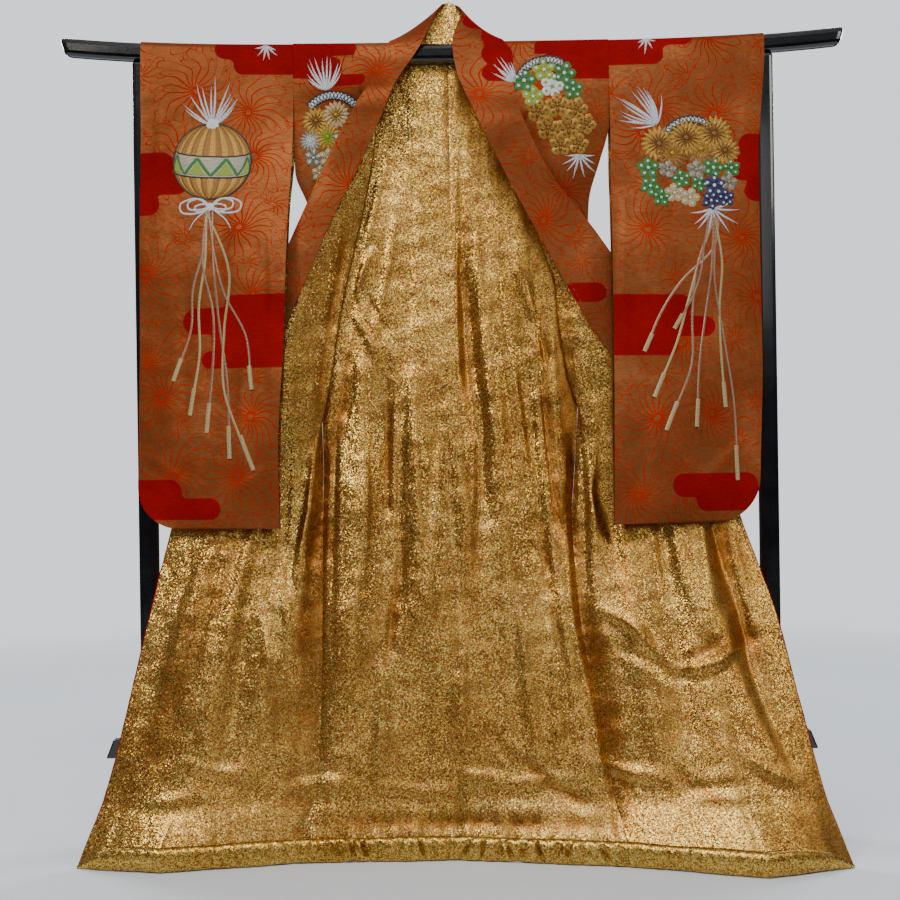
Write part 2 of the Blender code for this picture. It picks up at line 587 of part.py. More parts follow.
def build_sleeve(side):
    """Sleeve: one strip from the front bottom over the bar to the back bottom, sewn to a bag."""
    columns = 9
    rows = SLEEVES[side]
    bottom = rows[0].z
    levels = [bottom + rise for rise in (0.0, 0.010, 0.030, 0.060, 0.11, 0.19, 0.28, 0.38, 0.48, 0.58)]
    levels += [1.31, 1.37, 1.42, 1.50, 1.57, 1.61]
    grid = []
    for facing in ("front", "lap", "back"):
        if facing == "lap":
            ends = at_height(rows, rows[-1].z)
            paths = [bar_lap_path(between(ends.inner_x, SLEEVE_END_X[side], c / (columns - 1)))
                     for c in range(columns)]
            grid += [[path[i] for path in paths] for i in reversed(range(len(paths[0])))]
            continue
        sheet = []
        for z in levels:
            row = sleeve_outline(side, z)
            line = []
            for c in range(columns):
                t = c / (columns - 1)
                belly = SLEEVE_BELLY * math.sin(math.pi * t) * min(1.0, (z - bottom) / 0.03)
                if facing == "front":
                    x = between(row.inner_x, row.outer_x, t)
                    y = between(row.front_in_y, row.front_out_y, t) - belly
                else:
                    x = between(row.inner_x, row.back_out_x, t)
                    y = between(row.back_in_y, row.back_out_y, t) + belly * 0.5
                    if z < WRIST_OPEN_Z:
                        y = max(y, between(row.front_in_y, row.front_out_y, t) - belly + SLEEVE_EDGE)
                line.append(Vector((x, y, z)))
            sheet.append(line)
        grid += sheet if facing == "front" else sheet[::-1]
    count = len(grid)
    points = [point for line in grid for point in line]
    faces = []
    for r in range(count - 1):
        for c in range(columns - 1):
            a = r * columns + c
            b, d, e = a + 1, a + columns, a + columns + 1
            faces += ((a, b, d), (b, e, d)) if r < count // 2 else ((a, b, e), (a, e, d))
    outer = columns - 1
    sewn_rows = [r for r in range(len(levels)) if levels[r] < WRIST_OPEN_Z]
    for r in sewn_rows[:-1]:
        a, d = r * columns + outer, (r + 1) * columns + outer
        b, e = (count - 1 - r) * columns + outer, (count - 2 - r) * columns + outer
        faces += [(a, b, e), (a, e, d)]
    last = (count - 1) * columns
    for c in range(columns - 1):
        faces += [(last + c, last + c + 1, c + 1), (last + c, c + 1, c)]
    facing = side
    normals = [Vector((0.0, 0.0, 0.0)) for _ in points]
    for a, b, e in faces:
        tilt = (points[b] - points[a]).cross(points[e] - points[a]).normalized() * facing
        for i in (a, b, e):
            normals[i] += tilt
    normals = [normal.normalized() for normal in normals]
    return cloth_wall("sleeve_" + SIDE_NAMES[side], points, normals, faces, SLEEVE_FACES, silk, facing)


def hem_path():
    """Line of the hem roll from the left tip to the right tip, with the places of its seams."""
    left = front_curve(-1, 0.0)
    right = front_curve(1, 0.0)
    seam_at = TURN_COLUMNS[0] + TURN_COLUMNS[1] + TURN_COLUMNS[2]
    centre = back_point(-1, 0.0, 0.0)
    points = left[::-1] + [centre] + right
    marks = [0, OKUMI_COLUMNS, OKUMI_COLUMNS + seam_at, OKUMI_COLUMNS + seam_at + 1]
    marks += [marks[3] + 1, marks[3] + 1 + seam_at, marks[3] + 1 + seam_at + OKUMI_COLUMNS]
    return points, marks


def build_fuki():
    """Padded, gathered roll along the hem, one piece to each panel."""
    points, marks = hem_path()
    distance = [0.0]
    for a, b in zip(points, points[1:]):
        distance.append(distance[-1] + (b - a).length)

    def place(s):
        index = 0
        while index < len(points) - 2 and distance[index + 1] < s:
            index += 1
        t = (s - distance[index]) / (distance[index + 1] - distance[index])
        return points[index].lerp(points[index + 1], t)

    total = distance[-1]
    names = ("okumi_left", "front_left", "back_left", "back_right", "front_right", "okumi_right")
    count = 0
    for name, start, end in zip(names, marks, marks[1:]):
        s0 = distance[start] + SEAM_INSET * (start > 0)
        s1 = distance[end] - SEAM_INSET * (end < len(points) - 1)
        spans = max(3, round((s1 - s0) / FUKI_RING_STEP))
        mesh = bmesh.new()
        rings = []
        for ring in range(spans + 1):
            s = between(s0, s1, ring / spans)
            here = place(s)
            along = place(min(s + 0.02, total)) - place(max(s - 0.02, 0.0))
            across = Vector((-along.y, along.x, 0.0)).normalized()
            side = -1 if here.x < CENTRE_X else 1
            height = hem_height(side, here.x)
            full = (height - FUKI_TIP_HEIGHT) / (FUKI_HEIGHT - FUKI_TIP_HEIGHT)
            thick = between(FUKI_TIP_THICKNESS, FUKI_THICKNESS, full)
            swell = math.exp(-(here.x / GATHER_HALF_SPAN) ** 2) * (0.65 + 0.35 * math.sin(2.3 * count))
            inner_ring = 0 < ring < spans
            pinch = GATHER_DEPTH * full * swell * (0.5 if count % 2 else -0.5) * inner_ring
            count += 1
            verts = []
            for i in range(FUKI_RING_POINTS):
                angle = 2.0 * math.pi * (i + 0.5) / FUKI_RING_POINTS
                out = thick / 2.0 + pinch
                up = height / 2.0 + pinch
                y = out * math.copysign(abs(math.cos(angle)) ** 0.8, math.cos(angle))
                z = up * math.copysign(abs(math.sin(angle)) ** 0.8, math.sin(angle)) / 0.9386
                level = max(0.0, height / 2.0 + z) if z < 0.0 else height / 2.0 + z
                if i in (5, 6):
                    level = 0.0
                verts.append(mesh.verts.new(Vector((here.x, here.y, level)) + across * y))
            rings.append(verts)
        for low, high in zip(rings, rings[1:]):
            for i in range(FUKI_RING_POINTS):
                j = (i + 1) % FUKI_RING_POINTS
                mesh.faces.new((low[i], high[i], high[j]))
                mesh.faces.new((low[i], high[j], low[j]))
        mesh.faces.new(rings[0])
        mesh.faces.new(rings[-1][::-1])
        bmesh.ops.recalc_face_normals(mesh, faces=mesh.faces)
        roll = new_object("fuki_" + name, mesh, lame)
        roll.data.shade_smooth()
        roll.data.set_sharp_from_angle(angle=math.radians(60.0))


def rounded_block(name, size, centre, rounding, segments=2):
    """Block with its edges rounded."""
    mesh = bmesh.new()
    bmesh.ops.create_cube(mesh, size=1.0)
    bmesh.ops.scale(mesh, vec=size, verts=mesh.verts)
    obj = new_object(name, mesh, lacquer)
    obj.location = centre
    bevel = obj.modifiers.new("rounding", "BEVEL")
    bevel.width = rounding
    bevel.segments = segments
    bevel.limit_method = "ANGLE"
    return obj


def build_bar():
    """Top bar: a rounded beam whose slanted tips sweep up."""
    mesh = bmesh.new()
    bmesh.ops.create_cube(mesh, size=1.0)
    bmesh.ops.scale(mesh, vec=(2.0 * BAR_HALF_LENGTH, BAR_DEPTH, BAR_HEIGHT), verts=mesh.verts)
    long_edges = [edge for edge in mesh.edges if abs(edge.verts[0].co.x - edge.verts[1].co.x) > 0.1]
    bmesh.ops.subdivide_edges(mesh, edges=long_edges, cuts=BAR_SPANS - 1, use_grid_fill=True)
    for vert in mesh.verts:
        if abs(vert.co.x) > BAR_HALF_LENGTH - 0.001 and vert.co.z < 0.0:
            vert.co.x -= math.copysign(BAR_TIP_SLANT, vert.co.x)
        vert.co.z += bar_lift(vert.co.x)
    bar = new_object("stand_bar", mesh, lacquer)
    bar.location = (0.0, 0.0, BAR_TOP_Z - BAR_HEIGHT / 2.0)
    bevel = bar.modifiers.new("rounding", "BEVEL")
    bevel.width = BAR_CORNER
    bevel.segments = BAR_CORNER_STEPS
    bevel.limit_method = "ANGLE"
    bevel.angle_limit = math.radians(60.0)
    return bar


def build_post(side, rail_cutter):
    """Post from its foot to the underside of the bar, mortised for the rail."""
    low = FOOT_HEIGHT + CLEARANCE
    high = BAR_TOP_Z - BAR_HEIGHT
    mesh = bmesh.new()
    bmesh.ops.create_cube(mesh, size=1.0)
    bmesh.ops.scale(mesh, vec=(POST_WIDTH, POST_DEPTH, high - low), verts=mesh.verts)
    for vert in mesh.verts:
        if vert.co.z > 0.0:
            vert.co.z += bar_lift(side * POST_X + vert.co.x) - CLEARANCE
    post = new_object("stand_post_" + SIDE_NAMES[side], mesh, lacquer)
    post.location = (side * POST_X, 0.0, (low + high) / 2.0)
    bevel = post.modifiers.new("rounding", "BEVEL")
    bevel.width = POST_ROUND
    bevel.segments = 3
    bevel.limit_method = "ANGLE"
    bevel.angle_limit = math.radians(80.0)
    mortise = post.modifiers.new("mortise", "BOOLEAN")
    mortise.operation = "DIFFERENCE"
    mortise.object = rail_cutter
    return post


def build_stand():
    """Stand: top bar, two posts, a rail through both, and two feet."""
    build_bar()
    cutter_mesh = bpy.data.meshes.new("rail_mortise")
    mesh = bmesh.new()
    bmesh.ops.create_cube(mesh, size=1.0)
    size = (2.0 * RAIL_HALF_LENGTH, RAIL_DEPTH + 2.0 * CLEARANCE, RAIL_HEIGHT + 2.0 * CLEARANCE)
    bmesh.ops.scale(mesh, vec=size, verts=mesh.verts)
    mesh.to_mesh(cutter_mesh)
    mesh.free()
    cutter = bpy.data.objects.new("rail_mortise", cutter_mesh)
    cutters.objects.link(cutter)
    cutter.parent = carrier
    cutter.location = (0.0, 0.0, RAIL_Z)
    cutter.hide_render = True
    cutter.display_type = "WIRE"
    rail_size = (2.0 * RAIL_HALF_LENGTH, RAIL_DEPTH, RAIL_HEIGHT)
    rail = rounded_block("stand_rail", rail_size, (0.0, 0.0, RAIL_Z), EDGE_ROUND)
    for vert in rail.data.vertices:
        if vert.co.z > 0.0:
            vert.co.x -= math.copysign(RAIL_CHAMFER, vert.co.x)
    for side in (-1, 1):
        build_post(side, cutter)
        length = FOOT_BACK_Y - FOOT_FRONT_Y
        middle = (side * POST_X, (FOOT_BACK_Y + FOOT_FRONT_Y) / 2.0, FOOT_HEIGHT / 2.0)
        foot = rounded_block("stand_foot_" + SIDE_NAMES[side], (FOOT_WIDTH, length, FOOT_HEIGHT),
                             middle, EDGE_ROUND)
        for vert in foot.data.vertices:
            if vert.co.z > 0.0:
                vert.co.y -= math.copysign(FOOT_NOSE, vert.co.y)


def surface(name, colour, roughness, metallic=0.0):
    """Plain material of one of the kimono's or the stand's finishes."""
    material = bpy.data.materials.new(name)
    material.use_nodes = True
    shader = material.node_tree.nodes["Principled BSDF"]
    shader.inputs["Base Color"].default_value = (*colour, 1.0)
    shader.inputs["Roughness"].default_value = roughness
    shader.inputs["Metallic"].default_value = metallic
    return material


def centre_on_floor():
    """Move the carrier so that the middle of everything lies over the origin, back to front."""
    bpy.context.view_layer.update()
    evaluated = bpy.context.evaluated_depsgraph_get()
    depths = []
    for obj in parts.objects:
        if obj.type == "MESH":
            box = obj.evaluated_get(evaluated).bound_box
            depths += [(obj.matrix_world @ Vector(corner)).y for corner in box]
    carrier.location = (0.0, -(min(depths) + max(depths)) / 2.0, 0.0)


for old in list(bpy.data.objects):
    bpy.data.objects.remove(old, do_unlink=True)
parts = bpy.data.collections.new("kimono_on_stand")
cutters = bpy.data.collections.new("cutters")
bpy.context.scene.collection.children.link(parts)
bpy.context.scene.collection.children.link(cutters)
carrier = bpy.data.objects.new("kimono_carrier", None)
parts.objects.link(carrier)

silk = surface("figured_silk", (0.42, 0.11, 0.045), 0.55)
lame = surface("gold_lame", (0.55, 0.33, 0.11), 0.35, 0.6)
lacquer = surface("black_lacquer", (0.008, 0.008, 0.009), 0.18)

build_stand()
for half in (-1, 1):
    build_body(half)
    build_sleeve(half)
build_collar()
build_fuki()
centre_on_floor()
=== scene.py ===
import math
import random
from collections import namedtuple
from functools import partial

import bmesh
import bpy
import numpy as np
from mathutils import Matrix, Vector
from mathutils.bvhtree import BVHTree


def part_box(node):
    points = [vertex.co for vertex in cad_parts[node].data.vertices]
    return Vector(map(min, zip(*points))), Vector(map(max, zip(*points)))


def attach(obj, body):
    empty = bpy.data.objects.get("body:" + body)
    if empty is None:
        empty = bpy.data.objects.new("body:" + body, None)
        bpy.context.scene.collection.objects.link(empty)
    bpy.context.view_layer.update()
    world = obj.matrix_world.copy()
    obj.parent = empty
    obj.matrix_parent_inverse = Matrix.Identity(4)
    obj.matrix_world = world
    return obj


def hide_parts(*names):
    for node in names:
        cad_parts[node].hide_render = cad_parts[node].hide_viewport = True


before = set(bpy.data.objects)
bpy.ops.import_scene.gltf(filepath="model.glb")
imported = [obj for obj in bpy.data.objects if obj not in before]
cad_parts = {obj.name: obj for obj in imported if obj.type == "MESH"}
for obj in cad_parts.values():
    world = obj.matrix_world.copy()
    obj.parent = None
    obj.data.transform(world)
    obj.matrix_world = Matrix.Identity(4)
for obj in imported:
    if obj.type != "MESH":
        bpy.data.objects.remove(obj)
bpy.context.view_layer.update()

bar_low, bar_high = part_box("stand_bar")
bar_y = (bar_low[1] + bar_high[1]) / 2.0


def named(kind, rows):
    """Table whose rows carry the names of their columns."""
    return [kind(*row) for row in rows]


# Sizes of the stand's bar, over which the cloth lies
BAR_HALF_LENGTH = 0.822
BAR_DEPTH = 0.032
BAR_CORNER = 0.012
BAR_CORNER_STEPS = 4
BAR_TOP_Z = 1.650
BAR_TIP_LIFT = 0.025
BAR_LIFT_POWER = 3.6

# Cloth: distances of the wall faces from the drawn surface, which is the lining's face
LINING_FACES = (0.0003, 0.0018)
SILK_FACES = (0.0021, 0.0036)
SLEEVE_FACES = (0.0, 0.0022)
COLLAR_FACES = (-0.0015, 0.0015)
# Below 0, so that sewn edges reach past their seam line and touch
SEAM_INSET = -0.0002
SILK_EDGE_REACH = 0.003
BAR_LAP = 0.0005

# Cut and hang of the body
CENTRE_X = -0.009
BACK_NECK_Z = 1.644
NECK_X = {-1: -0.1334, 1: 0.1050}
SHOULDER_X = {-1: -0.3320, 1: 0.3250}
SLEEVE_END_X = {-1: -0.650, 1: 0.650}
OKUMI_TOP_Z = 1.43
BACK_TURN_Y = 0.004
TURN_ROUND = 0.014
ROLL_NEAR = 0.18
ROLL_HALF = 0.08
SEAM_VALLEY = 0.012
BACK_HUMP = 0.011
HUMP_POWER = 4
HUMP_TOP_Z = 1.0

# One row for each height. side: side seam of the front; back_y: depth of the back panel's
# side edge; turn_x: the roll where the front folds back on itself; turned: how far it does;
# seam: seam between front and overlap panel; edge: front edge, or collar seam higher up.
Section = namedtuple("Section", "z side_x side_y back_y turn_x turned seam_x seam_y edge_x edge_y")
SECTIONS = {
    -1: named(Section, [
        (0.000, -0.322, -0.214, -0.214, -0.43, 0.0, -0.582, -0.266, -0.750, -0.228),
        (0.130, -0.291, -0.180, -0.180, -0.40, 0.0, -0.553, -0.222, -0.704, -0.188),
        (0.300, -0.282, -0.140, -0.140, -0.38, 0.0, -0.512, -0.178, -0.664, -0.146),
        (0.450, -0.280, -0.110, -0.110, -0.36, 0.0, -0.488, -0.143, -0.634, -0.108),
        (0.650, -0.280, -0.064, -0.064, -0.32, 0.0, -0.465, -0.090, -0.588, -0.062),
        (0.760, -0.279, -0.045, -0.044, -0.29, 0.2, -0.435, -0.076, -0.550, -0.056),
        (0.870, -0.281, -0.030, -0.028, -0.272, 0.7, -0.400, -0.068, -0.505, -0.053),
        (0.985, -0.285, -0.020, -0.018, -0.259, 1.0, -0.362, -0.060, -0.452, -0.050),
        (1.075, -0.289, -0.013, -0.011, -0.246, 1.0, -0.334, -0.054, -0.410, -0.049),
        (1.236, -0.297, -0.004, -0.001, -0.210, 1.0, -0.299, -0.046, -0.338, -0.046),
        (1.309, -0.305, -0.007, 0.003, -0.192, 1.0, -0.282, -0.045, -0.304, -0.045),
        (1.385, -0.331, -0.014, 0.009, -0.176, 1.0, -0.260, -0.045, -0.268, -0.045),
        (1.450, -0.332, -0.017, 0.013, -0.167, 1.0, -0.236, -0.046, -0.236, -0.046),
        (1.490, -0.332, -0.018, 0.015, -0.166, 1.0, -0.212, -0.051, -0.212, -0.051),
        (1.520, -0.332, -0.018, 0.016, -0.172, 0.9, -0.194, -0.056, -0.194, -0.056),
        (1.550, -0.332, -0.018, 0.0165, -0.182, 0.5, -0.174, -0.052, -0.174, -0.052),
        (1.585, -0.332, -0.017, 0.0165, -0.180, 0.1, -0.160, -0.032, -0.160, -0.032),
        (1.620, -0.3320, -0.0165, 0.0165, -0.175, 0.0, -0.148, -0.0175, -0.148, -0.0175),
    ]),
    1: named(Section, [
        (0.000, 0.314, -0.270, -0.270, 0.43, 0.0, 0.560, -0.353, 0.735, -0.298),
        (0.130, 0.292, -0.216, -0.216, 0.41, 0.0, 0.535, -0.288, 0.695, -0.246),
        (0.300, 0.269, -0.160, -0.160, 0.38, 0.0, 0.516, -0.214, 0.664, -0.178),
        (0.450, 0.242, -0.120, -0.120, 0.35, 0.0, 0.492, -0.158, 0.637, -0.122),
        (0.650, 0.232, -0.066, -0.066, 0.29, 0.0, 0.450, -0.092, 0.578, -0.062),
        (0.760, 0.240, -0.046, -0.045, 0.26, 0.3, 0.425, -0.078, 0.536, -0.056),
        (0.878, 0.249, -0.030, -0.028, 0.244, 0.7, 0.396, -0.067, 0.487, -0.052),
        (0.964, 0.2535, -0.021, -0.019, 0.231, 1.0, 0.366, -0.060, 0.448, -0.050),
        (1.050, 0.262, -0.015, -0.013, 0.2175, 1.0, 0.332, -0.054, 0.400, -0.049),
        (1.141, 0.270, -0.009, -0.007, 0.211, 1.0, 0.302, -0.050, 0.350, -0.048),
        (1.2025, 0.2755, -0.005, -0.002, 0.192, 1.0, 0.285, -0.046, 0.319, -0.046),
        (1.314, 0.2805, -0.007, 0.004, 0.155, 1.0, 0.218, -0.045, 0.233, -0.047),
        (1.399, 0.3040, -0.014, 0.010, 0.138, 1.0, 0.171, -0.048, 0.179, -0.0515),
        (1.440, 0.3170, -0.016, 0.012, 0.135, 1.0, 0.158, -0.055, 0.158, -0.055),
        (1.473, 0.3240, -0.018, 0.014, 0.136, 0.8, 0.143, -0.057, 0.143, -0.057),
        (1.505, 0.3250, -0.018, 0.015, 0.142, 0.4, 0.131, -0.048, 0.131, -0.048),
        (1.540, 0.3250, -0.018, 0.0165, 0.144, 0.05, 0.125, -0.031, 0.125, -0.031),
        (1.620, 0.3250, -0.0165, 0.0165, 0.150, 0.0, 0.122, -0.0175, 0.122, -0.0175),
    ]),
}

# Depth of the centre-back seam
Depth = namedtuple("Depth", "z y")
CENTRE_BACK = named(Depth, [
    (0.00, -0.208),
    (0.30, -0.150),
    (0.60, -0.092),
    (0.90, -0.046),
    (1.20, -0.008),
    (1.40, 0.008),
    (1.60, 0.0165),
    (1.65, 0.0165),
])

# The largest folds of the hanging cloth: a ridge has a depth above 0, a valley below 0
Fold = namedtuple("Fold", "top_x top_z foot_x foot_z width depth")
FOLDS = named(Fold, [
    (-0.190, 1.06, -0.225, 0.30, 0.020, 0.012),
    (-0.150, 1.02, -0.150, 0.34, 0.018, -0.011),
    (-0.095, 1.00, -0.070, 0.40, 0.020, 0.012),
    (-0.040, 0.96, 0.000, 0.42, 0.016, -0.009),
    (0.010, 1.28, 0.055, 0.62, 0.016, -0.010),
    (0.060, 1.20, 0.110, 0.38, 0.020, 0.012),
    (0.130, 1.14, 0.185, 0.30, 0.020, -0.012),
    (-0.360, 0.62, -0.410, 0.16, 0.022, 0.012),
    (-0.420, 0.62, -0.470, 0.14, 0.018, -0.008),
    (0.340, 0.68, 0.380, 0.16, 0.024, 0.013),
    (0.410, 0.66, 0.450, 0.14, 0.018, -0.009),
    (0.545, 0.60, 0.600, 0.24, 0.022, -0.012),
])

# Front arms of the collar: free edge at each height, and how far it stands off the seam
CollarArm = namedtuple("CollarArm", "z free_x stand_off")
COLLAR_ARMS = {
    -1: named(CollarArm, [
        (0.870, -0.436, 0.004),
        (0.980, -0.384, 0.005),
        (1.075, -0.343, 0.006),
        (1.186, -0.294, 0.007),
        (1.2855, -0.249, 0.009),
        (1.375, -0.201, 0.010),
        (1.450, -0.165, 0.010),
        (1.485, -0.149, 0.010),
        (1.510, -0.138, 0.010),
        (1.530, -0.129, 0.010),
        (1.550, -0.120, 0.009),
        (1.580, -0.105, 0.008),
        (1.615, -0.083, 0.007),
    ]),
    1: named(CollarArm, [
        (0.870, 0.382, 0.004),
        (0.950, 0.345, 0.005),
        (1.042, 0.282, 0.006),
        (1.141, 0.225, 0.008),
        (1.237, 0.173, 0.010),
        (1.340, 0.119, 0.011),
        (1.400, 0.088, 0.011),
        (1.450, 0.063, 0.011),
        (1.485, 0.0465, 0.010),
        (1.510, 0.036, 0.010),
        (1.530, 0.0275, 0.010),
        (1.550, 0.020, 0.009),
        (1.580, 0.009, 0.008),
        (1.625, 0.001, 0.006),
    ]),
}

# How far the collar lies off the cloth: where the front hangs straight, where it is turned out, and
# above the overlap panel. The clearance comes on top.
COLLAR_LIFTS = (0.0062, 0.0036)
COLLAR_TOP_LIFT = 0.0070
COLLAR_CLEARANCE = 0.0008

# Behind the neck the collar stands up, pinched to a peak
NeckRing = namedtuple("NeckRing", "seam_x seam_y seam_z free_x free_y free_z")
COLLAR_NECK = named(NeckRing, [
    (-0.1340, -0.0220, 1.646, -0.060, -0.0290, 1.652),
    (-0.1280, -0.0060, 1.6570, -0.042, -0.0150, 1.690),
    (-0.1200, 0.0100, 1.6575, -0.029, 0.0020, 1.722),
    (-0.1000, 0.0228, 1.6480, -0.020, 0.0160, 1.738),
    (-0.0560, 0.0235, 1.6400, -0.014, 0.0240, 1.743),
    (-0.0120, 0.0235, 1.6390, -0.006, 0.0260, 1.7455),
    (0.0360, 0.0235, 1.6410, 0.006, 0.0240, 1.741),
    (0.0760, 0.0228, 1.6490, 0.017, 0.0150, 1.731),
    (0.0930, 0.0100, 1.6580, 0.021, 0.0000, 1.716),
    (0.1010, -0.0060, 1.6580, 0.014, -0.0150, 1.694),
    (0.1090, -0.0220, 1.6470, 0.002, -0.0260, 1.660),
])

# Sleeve bags: edges and depths of their two sheets at each height
SleeveRow = namedtuple("SleeveRow",
                       "z inner_x outer_x front_in_y front_out_y back_in_y back_out_y back_out_x")
SLEEVES = {
    -1: named(SleeveRow, [
        (0.649, -0.3595, -0.6525, -0.1360, -0.090, -0.1360, -0.090, -0.6525),
        (0.800, -0.3610, -0.6525, -0.1310, -0.072, -0.1000, -0.072, -0.6525),
        (1.010, -0.3510, -0.6520, -0.1110, -0.047, -0.0800, -0.047, -0.6520),
        (1.240, -0.3420, -0.6515, -0.0900, -0.036, -0.0620, -0.036, -0.6515),
        (1.310, -0.3395, -0.6510, -0.0740, -0.032, -0.0440, -0.032, -0.6510),
        (1.370, -0.3365, -0.6510, -0.0520, -0.028, -0.0120, -0.025, -0.6270),
        (1.410, -0.3350, -0.6510, -0.0380, -0.026, 0.0090, -0.0160, -0.6180),
        (1.500, -0.3326, -0.6500, -0.0235, -0.0225, 0.0150, 0.0080, -0.6160),
        (1.570, -0.3326, -0.6500, -0.0200, -0.0210, 0.0165, 0.0170, -0.6220),
        (1.620, -0.3326, -0.6500, -0.0165, -0.0190, 0.0165, 0.0195, -0.6420),
    ]),
    1: named(SleeveRow, [
        (0.648, 0.3100, 0.6080, -0.1400, -0.090, -0.1400, -0.090, 0.6080),
        (0.800, 0.3130, 0.6180, -0.1330, -0.072, -0.1020, -0.072, 0.6180),
        (1.000, 0.3175, 0.6290, -0.1110, -0.047, -0.0800, -0.047, 0.6290),
        (1.200, 0.3190, 0.6295, -0.0930, -0.038, -0.0650, -0.038, 0.6295),
        (1.310, 0.3200, 0.6300, -0.0740, -0.032, -0.0440, -0.032, 0.6300),
        (1.370, 0.3220, 0.6310, -0.0520, -0.028, -0.0120, -0.025, 0.6200),
        (1.415, 0.3245, 0.6330, -0.0370, -0.026, 0.0090, -0.0160, 0.6140),
        (1.500, 0.3256, 0.6400, -0.0235, -0.0225, 0.0150, 0.0080, 0.6150),
        (1.570, 0.3256, 0.6460, -0.0200, -0.0210, 0.0165, 0.0170, 0.6220),
        (1.620, 0.3256, 0.6500, -0.0165, -0.0190, 0.0165, 0.0195, 0.6420),
    ]),
}
SLEEVE_CORNER = 0.085
SLEEVE_BELLY = 0.006
SLEEVE_EDGE = 0.005
WRIST_OPEN_Z = 1.36

# Padded hem roll
FUKI_HEIGHT = 0.048
FUKI_TIP_HEIGHT = 0.006
FUKI_THICKNESS = 0.028
FUKI_TIP_THICKNESS = 0.006
FUKI_GROWTH = (0.0, 0.66, 0.90, 1.0, 1.0)
GATHER_HALF_SPAN = 0.42
GATHER_PINCH = 0.0125
GATHER_LEAN = 0.02
HEM_LUMP = 0.0016
HEM_UNEVENNESS = 0.0004
# Below 0: the foot of the cloth ends this far under the top of the roll
HEM_GAP = -0.002


def between(a, b, t):
    """Value part of the way from a to b."""
    return a + (b - a) * t


def at_height(rows, z):
    """Row of a table at any height, eased so that no value overshoots its rows."""
    z = min(max(z, rows[0].z), rows[-1].z)
    index = 0
    while index < len(rows) - 2 and rows[index + 1].z < z:
        index += 1
    low, high = rows[index], rows[index + 1]
    span = high.z - low.z
    t = (z - low.z) / span
    values = [z]
    for column in range(1, len(low)):
        slopes = []
        for row in (index, index + 1):
            if row == 0 or row == len(rows) - 1:
                slopes.append((high[column] - low[column]) / span)
                continue
            before = (rows[row][column] - rows[row - 1][column]) / (rows[row].z - rows[row - 1].z)
            after = (rows[row + 1][column] - rows[row][column]) / (rows[row + 1].z - rows[row].z)
            flat = before * after <= 0.0
            slopes.append(0.0 if flat else 2.0 * before * after / (before + after))
        values.append(hermite(low[column], high[column], slopes[0] * span, slopes[1] * span, t))
    return type(low)(*values)


def hermite(start, end, start_slope, end_slope, t):
    """Cubic between two values, or two points, with the slopes given at its ends."""
    square = t * t
    cube = square * t
    return (start * (2.0 * cube - 3.0 * square + 1.0) + start_slope * (cube - 2.0 * square + t)
            + end * (3.0 * square - 2.0 * cube) + end_slope * (cube - square))


def bar_lift(x):
    """Rise of the top bar towards its tips."""
    return BAR_TIP_LIFT * (abs(x) / BAR_HALF_LENGTH) ** BAR_LIFT_POWER


def bar_lap_path(x):
    """Points round the upper half of the bar at x, from its back face to its front face."""
    reach = BAR_DEPTH / 2.0 + BAR_LAP
    top = BAR_TOP_Z + bar_lift(x) + BAR_LAP
    corner = BAR_CORNER + BAR_LAP
    middle_z = top - corner
    path = [Vector((x, reach, middle_z - 0.012))]
    for facing in (1, -1):
        steps = range(BAR_CORNER_STEPS + 1)
        for step in steps if facing == 1 else reversed(steps):
            angle = math.pi / 2.0 * step / BAR_CORNER_STEPS
            y = facing * (reach - corner + corner * math.cos(angle))
            path.append(Vector((x, y, middle_z + corner * math.sin(angle))))
    path.append(Vector((x, -reach, middle_z - 0.012)))
    return path


def smooth(value):
    """Eased step from 0 to 1 of a number or an array."""
    t = np.clip(value, 0.0, 1.0)
    return t * t * (3.0 - 2.0 * t)


def seam_line(side, column, z):
    """Values of one column of the body's table at many heights."""
    rows = SECTIONS[side]
    return np.interp(z, [row.z for row in rows], [getattr(row, column) for row in rows])


def ripple(x, z, size, seed):
    """Smooth uneven waves about size metres long, between -1 and 1."""
    dice = random.Random(seed)
    total = 0.0
    for _ in range(7):
        angle = dice.uniform(0.0, math.pi)
        length = size * dice.uniform(0.7, 1.6)
        shift = dice.uniform(0.0, 2.0 * math.pi)
        total = total + np.sin((x * math.cos(angle) + z * math.sin(angle)) * 2.0 * math.pi / length + shift)
    return total / 4.0


def line_places(row, x, z):
    """How far along a crease's bowed line each point lies, from 0 to 1, and how far beside it."""
    run_x, run_z = row.foot_x - row.top_x, row.foot_z - row.top_z
    length = math.hypot(run_x, run_z)
    t = np.clip(((x - row.top_x) * run_x + (z - row.top_z) * run_z) / length ** 2, 0.0, 1.0)
    across = ((x - row.top_x) * run_z - (z - row.top_z) * run_x) / length
    return t, across - row.bow * np.sin(math.pi * t)


def crease_relief(rows, x, z):
    """Ridges and troughs along the lines of a table of creases, steeper on one flank."""
    total = np.zeros_like(x)
    for row in rows:
        t, across = line_places(row, x, z)
        width = row.width * (0.65 + 0.7 * t)
        flank = 0.45 * np.exp(-((across - 1.7 * width) / (1.3 * width)) ** 2)
        ridge = np.exp(-(across / width) ** 2) - flank
        total += row.depth * np.sin(math.pi * t) ** 0.8 * ridge
    return total


def big_folds(x, z):
    """The largest folds, which the model's own solids have too."""
    total = np.zeros_like(x)
    for fold in FOLDS:
        t = (fold.top_z - z) / (fold.top_z - fold.foot_z)
        inside = np.clip(t, 0.0, 1.0)
        axis = between(fold.top_x, fold.foot_x, inside)
        width = fold.width * (0.7 + 0.7 * inside)
        total += fold.depth * np.sin(math.pi * inside) * np.exp(-((x - axis) / width) ** 2)
    return total


